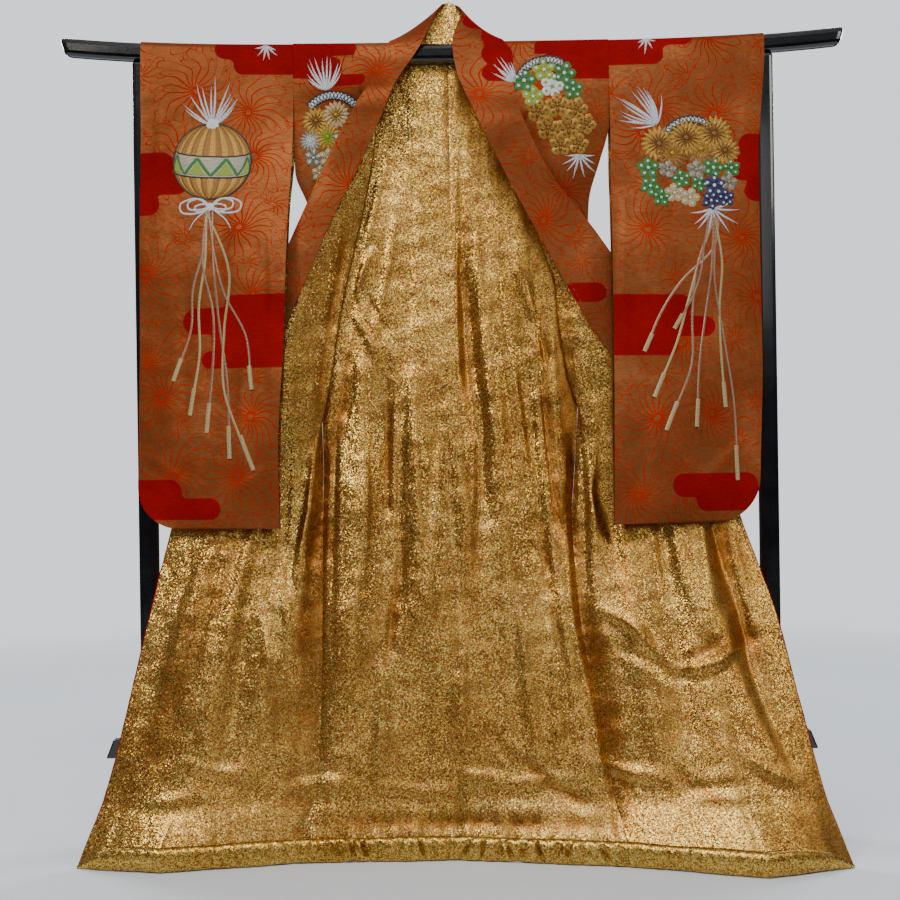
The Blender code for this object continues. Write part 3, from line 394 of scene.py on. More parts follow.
# Creases of the lining and of the body behind it: a line from its top to its foot, the half
# width of the ridge, its depth (a trough below 0), and how far the line bows to the side
Crease = namedtuple("Crease", "top_x top_z foot_x foot_z width depth bow")
LINING_CREASES = named(Crease, [
    (-0.135, 1.43, -0.215, 1.12, 0.009, 0.0050, 0.006),
    (-0.165, 1.36, -0.236, 1.02, 0.007, -0.0040, 0.004),
    (-0.120, 1.33, -0.180, 1.00, 0.008, 0.0035, -0.005),
    (-0.170, 1.23, -0.215, 1.10, 0.008, 0.0060, 0.006),
    (-0.205, 1.16, -0.140, 1.04, 0.007, -0.0045, 0.003),
    (-0.218, 1.09, -0.160, 0.98, 0.008, 0.0050, -0.004),
    (-0.070, 1.40, -0.075, 0.98, 0.012, 0.0035, 0.006),
    (0.015, 1.45, 0.018, 0.90, 0.007, -0.0045, 0.004),
    (0.045, 1.30, 0.070, 0.84, 0.010, 0.0045, 0.006),
    (0.085, 1.24, 0.120, 0.98, 0.009, -0.0040, -0.005),
    (0.120, 1.20, 0.190, 1.02, 0.008, 0.0055, 0.004),
    (0.160, 1.16, 0.205, 0.92, 0.007, -0.0045, 0.006),
    (0.105, 1.02, 0.150, 0.66, 0.010, 0.0050, -0.006),
    (0.175, 0.98, 0.215, 0.60, 0.009, -0.0055, 0.006),
    (0.050, 0.94, 0.030, 0.50, 0.010, -0.0045, -0.006),
    (-0.020, 0.92, -0.060, 0.46, 0.010, 0.0050, 0.006),
    (-0.115, 0.90, -0.120, 0.42, 0.011, -0.0060, 0.005),
    (-0.190, 0.88, -0.205, 0.46, 0.010, 0.0060, -0.006),
    (-0.250, 0.86, -0.262, 0.30, 0.009, -0.0055, 0.004),
    (-0.300, 0.82, -0.325, 0.26, 0.012, 0.0060, 0.006),
    (-0.350, 0.86, -0.380, 0.44, 0.012, -0.0050, -0.006),
    (-0.395, 0.74, -0.470, 0.34, 0.014, 0.0070, 0.010),
    (-0.470, 0.66, -0.540, 0.30, 0.012, -0.0050, 0.008),
    (-0.520, 0.60, -0.610, 0.20, 0.014, 0.0060, 0.008),
    (-0.365, 0.58, -0.330, 0.40, 0.010, 0.0065, 0.006),
    (-0.400, 0.54, -0.340, 0.34, 0.009, -0.0050, 0.006),
    (0.285, 0.92, 0.268, 0.44, 0.010, 0.0060, 0.004),
    (0.255, 0.86, 0.250, 0.36, 0.008, -0.0055, -0.004),
    (0.330, 0.80, 0.345, 0.36, 0.012, 0.0050, 0.006),
    (0.375, 0.88, 0.420, 0.48, 0.012, -0.0055, -0.008),
    (0.270, 0.48, 0.400, 0.36, 0.012, 0.0080, -0.020),
    (0.300, 0.40, 0.430, 0.33, 0.010, -0.0060, -0.014),
    (0.400, 0.36, 0.560, 0.42, 0.013, 0.0080, 0.020),
    (0.430, 0.70, 0.500, 0.40, 0.016, 0.0080, 0.010),
    (0.490, 0.74, 0.540, 0.46, 0.014, -0.0100, -0.008),
    (0.550, 0.66, 0.610, 0.34, 0.012, 0.0070, 0.006),
    (0.560, 0.40, 0.650, 0.16, 0.014, -0.0060, 0.008),
    (0.120, 0.52, 0.150, 0.16, 0.012, 0.0050, 0.006),
    (0.190, 0.46, 0.210, 0.14, 0.010, -0.0045, -0.006),
    (0.010, 0.44, -0.010, 0.16, 0.012, 0.0045, 0.006),
    (-0.160, 0.40, -0.170, 0.14, 0.012, 0.0050, -0.006),
    (-0.560, 0.20, -0.390, 0.17, 0.012, 0.0050, 0.010),
    (-0.360, 0.15, -0.200, 0.17, 0.010, -0.0045, -0.008),
    (-0.180, 0.145, 0.000, 0.13, 0.010, 0.0050, 0.008),
    (-0.060, 0.19, 0.120, 0.17, 0.009, -0.0035, 0.006),
    (0.060, 0.135, 0.250, 0.15, 0.010, 0.0050, -0.008),
    (0.240, 0.19, 0.420, 0.16, 0.011, 0.0050, 0.010),
    (0.400, 0.13, 0.560, 0.15, 0.010, -0.0045, -0.008),
    (0.520, 0.22, 0.660, 0.15, 0.012, 0.0055, 0.010),
    (-0.640, 0.12, -0.500, 0.14, 0.010, 0.0045, 0.008),
])
# Hollows between the folds, where the foil turns away from the light. They sink the cloth, and the
# lining's material paints them orange-brown as painted shade; depth is here a strength from 0 to 1
HOLLOWS = named(Crease, [
    (-0.270, 0.93, -0.318, 0.26, 0.030, 1.00, -0.004),
    (0.226, 1.16, 0.243, 0.44, 0.020, 0.95, 0.008),
    (0.238, 0.56, 0.312, 0.07, 0.022, 1.00, -0.006),
    (0.016, 1.36, 0.032, 0.72, 0.015, 0.60, 0.004),
    (0.022, 0.78, 0.016, 0.40, 0.020, 0.55, -0.004),
    (-0.140, 0.95, -0.146, 0.66, 0.009, 0.95, 0.002),
    (-0.096, 0.66, -0.150, 0.36, 0.010, 0.80, 0.006),
    (0.185, 1.12, 0.214, 0.52, 0.012, 0.95, 0.010),
    (0.165, 0.70, 0.205, 0.36, 0.012, 0.60, 0.004),
    (0.520, 0.74, 0.580, 0.34, 0.026, 1.00, 0.012),
    (0.430, 0.36, 0.620, 0.42, 0.014, 0.70, -0.020),
    (-0.222, 1.00, -0.252, 0.80, 0.013, 1.00, -0.004),
    (-0.222, 1.28, -0.288, 0.88, 0.011, 0.90, 0.006),
    (-0.445, 0.66, -0.620, 0.16, 0.034, 0.60, 0.014),
    (-0.300, 0.30, -0.340, 0.06, 0.018, 0.65, 0.004),
    (0.040, 0.24, 0.290, 0.085, 0.013, 0.75, 0.012),
    (-0.300, 0.075, 0.340, 0.075, 0.013, 0.85, 0.002),
    (0.330, 0.62, 0.345, 0.40, 0.010, 0.60, 0.004),
    (0.360, 0.20, 0.500, 0.12, 0.014, 0.55, 0.006),
    (-0.400, 0.42, -0.360, 0.20, 0.012, 0.50, -0.006),
])
SLEEVE_CREASES = {
    -1: named(Crease, [
        (-0.600, 1.56, -0.610, 1.20, 0.016, 0.0030, 0.006),
        (-0.460, 1.50, -0.480, 1.05, 0.020, -0.0030, 0.008),
        (-0.380, 1.30, -0.372, 0.86, 0.012, 0.0035, -0.006),
        (-0.545, 1.15, -0.555, 0.76, 0.016, -0.0028, 0.006),
        (-0.430, 0.98, -0.425, 0.70, 0.014, 0.0030, 0.006),
        (-0.640, 0.80, -0.520, 0.70, 0.012, 0.0022, -0.006),
        (-0.360, 1.44, -0.480, 1.32, 0.014, -0.0022, 0.010),
        (-0.370, 0.78, -0.470, 0.69, 0.010, 0.0022, 0.006),
    ]),
    1: named(Crease, [
        (0.600, 1.56, 0.608, 1.16, 0.016, 0.0030, -0.006),
        (0.450, 1.52, 0.440, 1.10, 0.020, -0.0030, 0.008),
        (0.350, 1.34, 0.342, 0.80, 0.012, 0.0040, 0.006),
        (0.520, 1.16, 0.512, 0.78, 0.016, -0.0028, 0.006),
        (0.400, 1.00, 0.390, 0.70, 0.014, 0.0030, -0.006),
        (0.590, 0.82, 0.480, 0.70, 0.012, 0.0025, 0.006),
        (0.340, 1.46, 0.460, 1.36, 0.014, -0.0022, 0.010),
    ]),
}

# Fineness of the cloth
ROW_STEP = 0.0085
FIRST_ROW_Z = 0.115
LAST_BACK_Z = 1.610
LAST_FRONT_Z = 1.615
LOW_ROWS = 7
NECK_COLUMNS = 18
OUTER_COLUMNS = 36
OKUMI_COLUMNS = 22
TURN_COLUMNS = (8, 8, 20)
SLEEVE_COLUMNS = 60
SLEEVE_TOP_Z = 1.61
SLEEVE_LOW_HEIGHT = 0.09
COLLAR_ROWS = 460
COLLAR_COLUMNS = 15
HEM_STEP = 0.0032
HEM_ROUND_POINTS = 26
SIDE_NAMES = {-1: "left", 1: "right"}


def hem_height(side, x):
    """Height of the padded hem roll under the point x of the hem, rounder than its solid."""
    hem = SECTIONS[side][0]
    share = min(max((hem.edge_x - x) / (hem.edge_x - hem.seam_x), 0.0), 1.0)
    grown = np.interp(share * (len(FUKI_GROWTH) - 1), range(len(FUKI_GROWTH)), FUKI_GROWTH)
    return between(FUKI_TIP_HEIGHT, FUKI_HEIGHT, float(grown))


def back_point(side, u, z):
    """Point of the back panel: u runs from the centre-back seam to the side."""
    row = at_height(SECTIONS[side], z)
    x = between(CENTRE_X, row.side_x, u)
    y = between(at_height(CENTRE_BACK, z).y, row.back_y, u)
    grown = min(1.0, max(0.0, (HUMP_TOP_Z - z) / 0.3)) * min(1.0, z / 0.2)
    y -= BACK_HUMP * math.sin(math.pi * u ** HUMP_POWER) * grown
    return Vector((x, y, z))


def front_curve(side, z):
    """Points of the front at one height, from the side seam round the roll to the edge."""
    row = at_height(SECTIONS[side], z)
    start = Vector((row.side_x, row.side_y, 0.0))
    seam = Vector((row.seam_x, row.seam_y, 0.0))
    edge = Vector((row.edge_x, row.edge_y, 0.0))
    turn_back = Vector((row.turn_x, row.side_y - BACK_TURN_Y, 0.0))
    turn_front = turn_back - Vector((0.0, TURN_ROUND, 0.0))
    roll = min(max((row.turn_x - row.side_x) / (row.seam_x - row.side_x), ROLL_NEAR), 1.0 - ROLL_NEAR)
    valley = Vector((0.0, SEAM_VALLEY * min(1.0, z / 0.5) * (1.0 - roll), 0.0))
    first = (start.lerp(seam, roll - ROLL_HALF) - valley).lerp(turn_back, row.turned)
    second = start.lerp(seam, roll + ROLL_HALF).lerp(turn_front, row.turned)
    reach = (second - first).length * 1.7
    into = (first - start).normalized() * reach
    away = (seam - second).normalized() * reach
    tuck, turn, flap = TURN_COLUMNS
    points = [start.lerp(first, i / tuck) for i in range(tuck)]
    points += [hermite(first, second, into, away, i / turn) for i in range(turn)]
    points += [second.lerp(seam, i / flap) for i in range(flap + 1)]
    points += [seam.lerp(edge, i / OKUMI_COLUMNS) for i in range(1, OKUMI_COLUMNS + 1)]
    for point in points:
        point.z = z
    return points


def hollow_at(x, z):
    """How far a point lies in a hollow of the lining, from 0 to 1."""
    total = np.zeros_like(x)
    for row in HOLLOWS:
        t, across = line_places(row, x, z)
        total += row.depth * np.sin(math.pi * t) ** 0.5 * np.exp(-(across / row.width) ** 4)
    uneven = 0.85 + 0.35 * ripple(x, z * 0.4, 0.06, 61)
    return np.clip(total * uneven, 0.0, 1.0)


# Relief of the body's cloth: depths, wave lengths and widths
HOLLOW_DEPTH = 0.0045
PLEAT_DEPTH = 0.0026
PLEAT_LENGTH = 0.037
CENTRE_SEAM_DEPTH = 0.0016
CENTRE_SEAM_WIDTH = 0.006
SEAM_WIDTH = 0.010
PUCKER_LENGTH = 0.024
# Column of the body's table, depth of the seam's furrow, and height up to which it shows
SEAM_FURROWS = (("side_x", 0.0040, 0.95), ("seam_x", 0.0030, 1.05))


def relief_at(x, z):
    """How far creases of every size bring the body's cloth towards the viewer."""
    relief = big_folds(x, z) + crease_relief(LINING_CREASES, x, z) - HOLLOW_DEPTH * hollow_at(x, z)
    relief += 0.0022 * ripple(x, z * 0.55, 0.110, 3) + 0.0010 * ripple(x, z * 0.7, 0.045, 5)
    relief += 0.0005 * ripple(x, z, 0.022, 8)
    low = np.exp(-np.clip(z - FUKI_HEIGHT, 0.0, None) / 0.035)
    pleats = np.sin(2.0 * math.pi * x / PLEAT_LENGTH + 1.5 * np.sin(17.0 * x) + 0.8 * np.sin(41.0 * x))
    relief += PLEAT_DEPTH * low * pleats * np.exp(-(x / 0.55) ** 2)
    relief -= CENTRE_SEAM_DEPTH * np.exp(-((x - CENTRE_X) / CENTRE_SEAM_WIDTH) ** 2)
    for side in (-1, 1):
        half = side * x > side * CENTRE_X
        for column, depth, top in SEAM_FURROWS:
            line = seam_line(side, column, z)
            near = np.exp(-((x - line) / SEAM_WIDTH) ** 2) * smooth((top - z) / 0.25) * half
            pucker = 0.6 * np.sin(2.0 * math.pi * z / PUCKER_LENGTH + 2.0 * np.sin(23.0 * z))
            relief -= depth * near * (1.0 + 0.35 * pucker)
    return relief


def as_array(rows):
    """Grid of vectors as an array of rows by columns by three."""
    return np.array([[tuple(point) for point in row] for row in rows])


def grid_normals(grid, facing):
    """Unit normals of an array of points, from its neighbours."""
    normals = np.cross(np.gradient(grid, axis=1), np.gradient(grid, axis=0)) * facing
    return normals / np.maximum(np.linalg.norm(normals, axis=2, keepdims=True), 1e-12)


def body_grids(side):
    """Back, shoulder and front points of one half of the body, hem to shoulder to hem."""
    neck_u = (NECK_X[side] - CENTRE_X) / (SHOULDER_X[side] - CENTRE_X)
    back_u = [neck_u * c / NECK_COLUMNS for c in range(NECK_COLUMNS)]
    back_u += [between(neck_u, 1.0, c / OUTER_COLUMNS) for c in range(OUTER_COLUMNS + 1)]

    def to_hem(rows, foot):
        for point in foot:
            point.z = hem_height(side, point.x) + HEM_GAP
        steps = [[a.lerp(b, r / LOW_ROWS) for a, b in zip(foot, rows[0])] for r in range(LOW_ROWS)]
        return steps + rows

    heights = np.linspace(FIRST_ROW_Z, LAST_BACK_Z, round((LAST_BACK_Z - FIRST_ROW_Z) / ROW_STEP) + 1)
    back = to_hem([[back_point(side, u, z) for u in back_u] for z in heights],
                  [back_point(side, u, 0.0) for u in back_u])
    front = to_hem([front_curve(side, z) for z in heights] + [front_curve(side, LAST_FRONT_Z)],
                   front_curve(side, 0.0))
    columns = [between(NECK_X[side], SHOULDER_X[side], c / OUTER_COLUMNS) for c in range(OUTER_COLUMNS + 1)]
    paths = [bar_lap_path(x) for x in columns]
    lap = [[path[i] for path in paths] for i in range(len(paths[0]))]
    back, lap, front = as_array(back), as_array(lap), as_array(front)
    tuck, turn, flap = TURN_COLUMNS
    turned = seam_line(side, "turned", back[:, :, 2])
    hidden = smooth((np.abs(back[:, :, 0]) - np.abs(seam_line(side, "turn_x", back[:, :, 2])) + 0.03) / 0.03)
    back[:, :, 1] -= relief_at(back[:, :, 0], back[:, :, 2]) * (1.0 - turned * hidden)
    turned = seam_line(side, "turned", front[:, :, 2])
    column = np.arange(front.shape[1])[None, :]
    round_turn = np.clip((column - tuck) / turn, 0.0, 1.0)
    calm = smooth((front[:, :, 2] - 1.15) / 0.2)
    weight = 1.0 - turned * (1.0 - round_turn) - 0.75 * calm * round_turn
    front[:, :, 1] -= relief_at(front[:, :, 0], front[:, :, 2]) * np.clip(weight, 0.0, 1.0)
    lift = BACK_NECK_Z - LAST_BACK_Z
    share = np.arange(NECK_COLUMNS) / NECK_COLUMNS
    rise = smooth((back[:, :NECK_COLUMNS, 2] - 1.50) / (LAST_BACK_Z - 1.50))
    back[:, :NECK_COLUMNS, 2] += rise * lift * (1.0 - 0.5 * share) * (1.0 - share ** 6)
    return back, lap, front[::-1, ::-1]


class Sheet:
    """Points, normals and four-sided faces of one layer of cloth, gathered grid by grid."""

    def __init__(self):
        self.points, self.normals, self.faces = [], [], []

    def add_grid(self, grid, normals):
        """Add a grid and return the numbers of its points, row by row."""
        rows, columns = grid.shape[:2]
        first = len(self.points)
        self.points += grid.reshape(-1, 3).tolist()
        self.normals += normals.reshape(-1, 3).tolist()
        numbers = np.arange(first, first + rows * columns).reshape(rows, columns)
        self.join(numbers)
        return numbers

    def join(self, numbers):
        """Faces between neighbouring numbers of a grid."""
        for low, high in zip(numbers[:-1], numbers[1:]):
            self.faces += zip(low[:-1].tolist(), low[1:].tolist(), high[1:].tolist(), high[:-1].tolist())


def finish_piece(name, vertices, faces, materials, slots=None, node=None,
                 smooth_by=50.0):
    """Mesh object of the kimono in its final place, riding on the stand's only body."""
    mesh = bpy.data.meshes.new(name)
    placed = np.array(vertices, dtype=float)
    placed[:, 1] += bar_y
    mesh.from_pydata(placed.tolist(), [], faces)
    for material in materials:
        mesh.materials.append(material)
    if slots is not None:
        mesh.polygons.foreach_set("material_index", slots)
    mesh.shade_smooth()
    mesh.set_sharp_from_angle(angle=math.radians(smooth_by))
    mesh.validate()
    piece = bpy.data.objects.new(name, mesh)
    bpy.context.scene.collection.objects.link(piece)
    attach(piece, "root")
    if node:
        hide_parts(node)
    return piece


def cloth_shell(name, sheet, wall, facing, outer, inner, node):
    """Closed thin shell of cloth on both sides of a layer's points."""
    points = np.array(sheet.points)
    normals = np.array(sheet.normals)
    far, near = points + normals * wall[1], points + normals * wall[0]
    count = len(points)
    faces, slots = [], []
    for face in sheet.faces:
        order = tuple(face) if facing == 1 else tuple(face)[::-1]
        faces.append(order)
        faces.append(tuple(i + count for i in reversed(order)))
        slots += [0, 1]
    directed = {(a, b) for face in faces[::2] for a, b in zip(face, face[1:] + face[:1])}
    for a, b in directed:
        if (b, a) not in directed:
            faces.append((a, a + count, b + count, b))
            slots.append(0)
    vertices = np.concatenate((far, near))
    return finish_piece(name, vertices, faces, (outer, inner), slots, node)


def drawn_in(grid, first, last):
    """Grid whose first and last columns are moved in by a gap at the seam, or out where it is below 0."""
    grid = grid.copy()
    for end, near, gap in ((0, 1, first), (-1, -2, last)):
        if gap:
            step = grid[:, near] - grid[:, end]
            grid[:, end] += step / np.maximum(np.linalg.norm(step, axis=1, keepdims=True), 1e-9) * gap
    return grid


def make_body(side):
    """Silk and lining of one half of the body, and of its overlap panel."""
    name, facing = SIDE_NAMES[side], -side
    back, lap, front = body_grids(side)
    back_normals = grid_normals(back, facing)
    front_normals = grid_normals(front, facing)
    panel = front[:, OKUMI_COLUMNS:]
    strip = np.concatenate((back[:, NECK_COLUMNS:], lap, panel))
    strip_normals = grid_normals(strip, facing)
    strip_normals[:len(back) - 1] = back_normals[:-1, NECK_COLUMNS:]
    strip_normals[len(back) + len(lap) + 1:] = front_normals[1:, OKUMI_COLUMNS:]
    strip = drawn_in(strip, SEAM_INSET, SEAM_INSET)
    strip[:len(back), 0] = back[:, NECK_COLUMNS]
    layer = Sheet()
    numbers = layer.add_grid(strip, strip_normals)
    neck = drawn_in(back[:, :NECK_COLUMNS + 1], SEAM_INSET, 0.0)[:, :-1]
    neck_normals = back_normals[:, :NECK_COLUMNS]
    neck_normals[:, 0, 0] = 0.0
    first = len(layer.points)
    layer.points += neck.reshape(-1, 3).tolist()
    layer.normals += neck_normals.reshape(-1, 3).tolist()
    neck_numbers = np.arange(first, first + neck.shape[0] * neck.shape[1]).reshape(neck.shape[:2])
    layer.join(np.concatenate((neck_numbers, numbers[:len(back), :1]), axis=1))
    silk_body = cloth_shell("body_silk_" + name, layer, SILK_FACES, facing, brocade, brocade,
                            "body_" + name)
    lame_body = cloth_shell("body_lining_" + name, layer, LINING_FACES, facing, lame, lame,
                            "lining_" + name)
    below = front[:, 0, 2] <= OKUMI_TOP_Z
    overlap = drawn_in(front[below][:, :OKUMI_COLUMNS + 1], 0.0, SEAM_INSET)
    overlap_normals = front_normals[below][:, :OKUMI_COLUMNS + 1]
    layer = Sheet()
    layer.add_grid(overlap, overlap_normals)
    lame_overlap = cloth_shell("overlap_lining_" + name, layer, LINING_FACES, facing, lame, lame,
                               "okumi_lining_" + name)
    reach = overlap[:, :1] - overlap[:, 1:2]
    reach *= SILK_EDGE_REACH / np.maximum(np.linalg.norm(reach, axis=2, keepdims=True), 1e-9)
    layer = Sheet()
    layer.add_grid(np.concatenate((overlap[:, :1] + reach, overlap), axis=1),
                   np.concatenate((overlap_normals[:, :1], overlap_normals), axis=1))
    silk_overlap = cloth_shell("overlap_silk_" + name, layer, SILK_FACES, facing, brocade, brocade,
                               "okumi_" + name)
    sew_body(side, front)
    return silk_body, lame_body, silk_overlap, lame_overlap


def sleeve_outline(side, z):
    """Row of the sleeve table at z, its outer edge drawn in where the lower corner is round."""
    rows = SLEEVES[side]
    row = at_height(rows, z)
    rise = z - rows[0].z
    if rise >= SLEEVE_CORNER:
        return row
    drawn = SLEEVE_CORNER - math.sqrt(SLEEVE_CORNER ** 2 - (SLEEVE_CORNER - rise) ** 2)
    return row._replace(outer_x=row.outer_x - side * drawn, back_out_x=row.back_out_x - side * drawn)


def make_sleeve(side):
    """Sleeve: one strip from the front bottom over the bar to the back bottom, sewn to a bag."""
    rows = SLEEVES[side]
    bottom = rows[0].z
    levels = [bottom + SLEEVE_LOW_HEIGHT * (k / 24) ** 1.6 for k in range(24)]
    levels += list(np.linspace(bottom + SLEEVE_LOW_HEIGHT, SLEEVE_TOP_Z, 150))
    share = np.linspace(0.0, 1.0, SLEEVE_COLUMNS + 1)
    sheets = {"front": [], "back": []}
    for z in levels:
        row = sleeve_outline(side, z)
        belly = SLEEVE_BELLY * np.sin(math.pi * share) * min(1.0, (z - bottom) / 0.03)
        front_y = between(row.front_in_y, row.front_out_y, share) - belly
        back_y = between(row.back_in_y, row.back_out_y, share) + belly * 0.5
        if z < WRIST_OPEN_Z:
            back_y = np.maximum(back_y, front_y + SLEEVE_EDGE)
        front_x = between(row.inner_x, row.outer_x, share)
        back_x = between(row.inner_x, row.back_out_x, share)
        height = np.full_like(share, z)
        sheets["front"].append(np.stack((front_x, front_y, height), axis=1))
        sheets["back"].append(np.stack((back_x, back_y, height), axis=1))
    front, back = np.array(sheets["front"]), np.array(sheets["back"])
    calm = smooth((front[:, :, 2] - bottom) / 0.03) * smooth((1.60 - front[:, :, 2]) / 0.10)
    x, z = front[:, :, 0], front[:, :, 2]
    creased = crease_relief(SLEEVE_CREASES[side], x, z) + 0.0014 * ripple(x, z * 0.5, 0.13, 11)
    creased += 0.0005 * ripple(x, z, 0.04, 12 + side)
    front[:, :, 1] -= creased * calm
    x, z = back[:, :, 0], back[:, :, 2]
    back[:, :, 1] += np.clip(0.0016 * ripple(x, z * 0.5, 0.12, 21), 0.0, None) * calm
    ends = at_height(rows, rows[-1].z)
    paths = [bar_lap_path(between(ends.inner_x, SLEEVE_END_X[side], t)) for t in share]
    lap = as_array([[path[i] for path in paths] for i in reversed(range(len(paths[0])))])
    grid = np.concatenate((front, lap, back[::-1]))
    layer = Sheet()
    numbers = layer.add_grid(grid, np.zeros_like(grid))
    count = len(levels)
    sewn = [r for r in range(count) if levels[r] < WRIST_OPEN_Z]
    front_edge, back_edge = numbers[sewn, -1], numbers[[len(numbers) - 1 - r for r in sewn], -1]
    layer.join(np.stack((front_edge, back_edge), axis=1))
    layer.join(np.stack((numbers[-1], numbers[0])))
    points = np.array(layer.points)
    normals = np.zeros_like(points)
    for a, b, c, d in layer.faces:
        tilt = np.cross(points[c] - points[a], points[d] - points[b])
        tilt /= max(np.linalg.norm(tilt), 1e-12)
        normals[[a, b, c, d]] += tilt * side
    layer.normals = (normals / np.maximum(np.linalg.norm(normals, axis=1, keepdims=True), 1e-12)).tolist()
    name = SIDE_NAMES[side]
    sleeve = cloth_shell("sleeve_silk_" + name, layer, SLEEVE_FACES, side, brocade, lame,
                         "sleeve_" + name)
    return sleeve


def along_curve(values, places):
    """Smooth curve through rows of values, read at fractions of the way between rows."""
    values = np.array(values)
    last = len(values) - 1
    result = []
    for place in places:
        i = min(int(place), last - 1)
        t = place - i
        a, b = values[i], values[i + 1]
        before = values[max(i - 1, 0)]
        after = values[min(i + 2, last)]
        result.append(hermite(a, b, (b - before) / 2.0, (after - a) / 2.0, t))
    return np.array(result)


def lapel_depth(side, x, z):
    """Depth of the turned-out front at x and z, in front of which the collar lies."""
    shown = front_curve(side, z)[TURN_COLUMNS[0] + TURN_COLUMNS[1]:]
    return float(np.interp(side * x, [side * p.x for p in shown], [p.y for p in shown]))


def make_collar():
    """Collar: one band from behind the left sleeve, round the neck, to behind the right one."""
    arms = []
    across = np.linspace(0.0, 1.0, COLLAR_COLUMNS)
    for side in (-1, 1):
        arm = []
        for station in COLLAR_ARMS[side]:
            body = at_height(SECTIONS[side], station.z)
            lift = between(*COLLAR_LIFTS, body.turned) if station.z < OKUMI_TOP_Z else COLLAR_TOP_LIFT
            lift += COLLAR_CLEARANCE
            seam = Vector((body.edge_x + side * 0.002, body.edge_y - lift, station.z))
            lapel = min(lapel_depth(side, station.free_x, station.z), body.edge_y)
            free = Vector((station.free_x, lapel - lift - station.stand_off, station.z))
            band = [seam.lerp(free, t) for t in across]
            for point in band[1:]:
                point.y = min(point.y, lapel_depth(side, point.x, station.z) - lift - 0.001)
            arm.append([tuple(point) for point in band])
        arms.append(arm)
    neck = []
    for ring in COLLAR_NECK:
        neck.append([tuple(Vector(ring[:3]).lerp(Vector(ring[3:]), t)) for t in across])
    stations = np.array(arms[0] + neck + arms[1][::-1])
    grid = along_curve(stations, np.linspace(0.0, len(stations) - 1.001, COLLAR_ROWS))
    normals = grid_normals(grid, 1)
    x, z = grid[:, :, 0], grid[:, :, 2]
    crown = 0.0016 * np.sin(math.pi * across[None, :] ** 0.8) * smooth((1.58 - z) / 0.1)
    creased = crown + 0.0009 * ripple(x * 0.6, z * 0.6, 0.05, 31) * smooth((1.60 - z) / 0.1)
    grid = grid + normals * creased[:, :, None]
    layer = Sheet()
    layer.add_grid(grid, grid_normals(grid, 1))
    collar = cloth_shell("collar_band", layer, COLLAR_FACES, 1, brocade, lame, "collar")
    raised = grid + grid_normals(grid, 1) * (COLLAR_FACES[1] + 0.0003)
    sew("collar_stitches", [raised[6:-6, 13]], 0.0130, 0.0060, 0.0005, 21, brocade_thread)
    return collar


def hem_path():
    """Line of the hem roll from the left tip to the right tip, with the places of its seams."""
    left, right = front_curve(-1, 0.0), front_curve(1, 0.0)
    seam_at = sum(TURN_COLUMNS)
    points = left[::-1] + [back_point(-1, 0.0, 0.0)] + right
    marks = [0, OKUMI_COLUMNS, OKUMI_COLUMNS + seam_at, OKUMI_COLUMNS + seam_at + 1]
    marks += [marks[3] + 1, marks[3] + 1 + seam_at, marks[3] + 1 + seam_at + OKUMI_COLUMNS]
    return points, marks


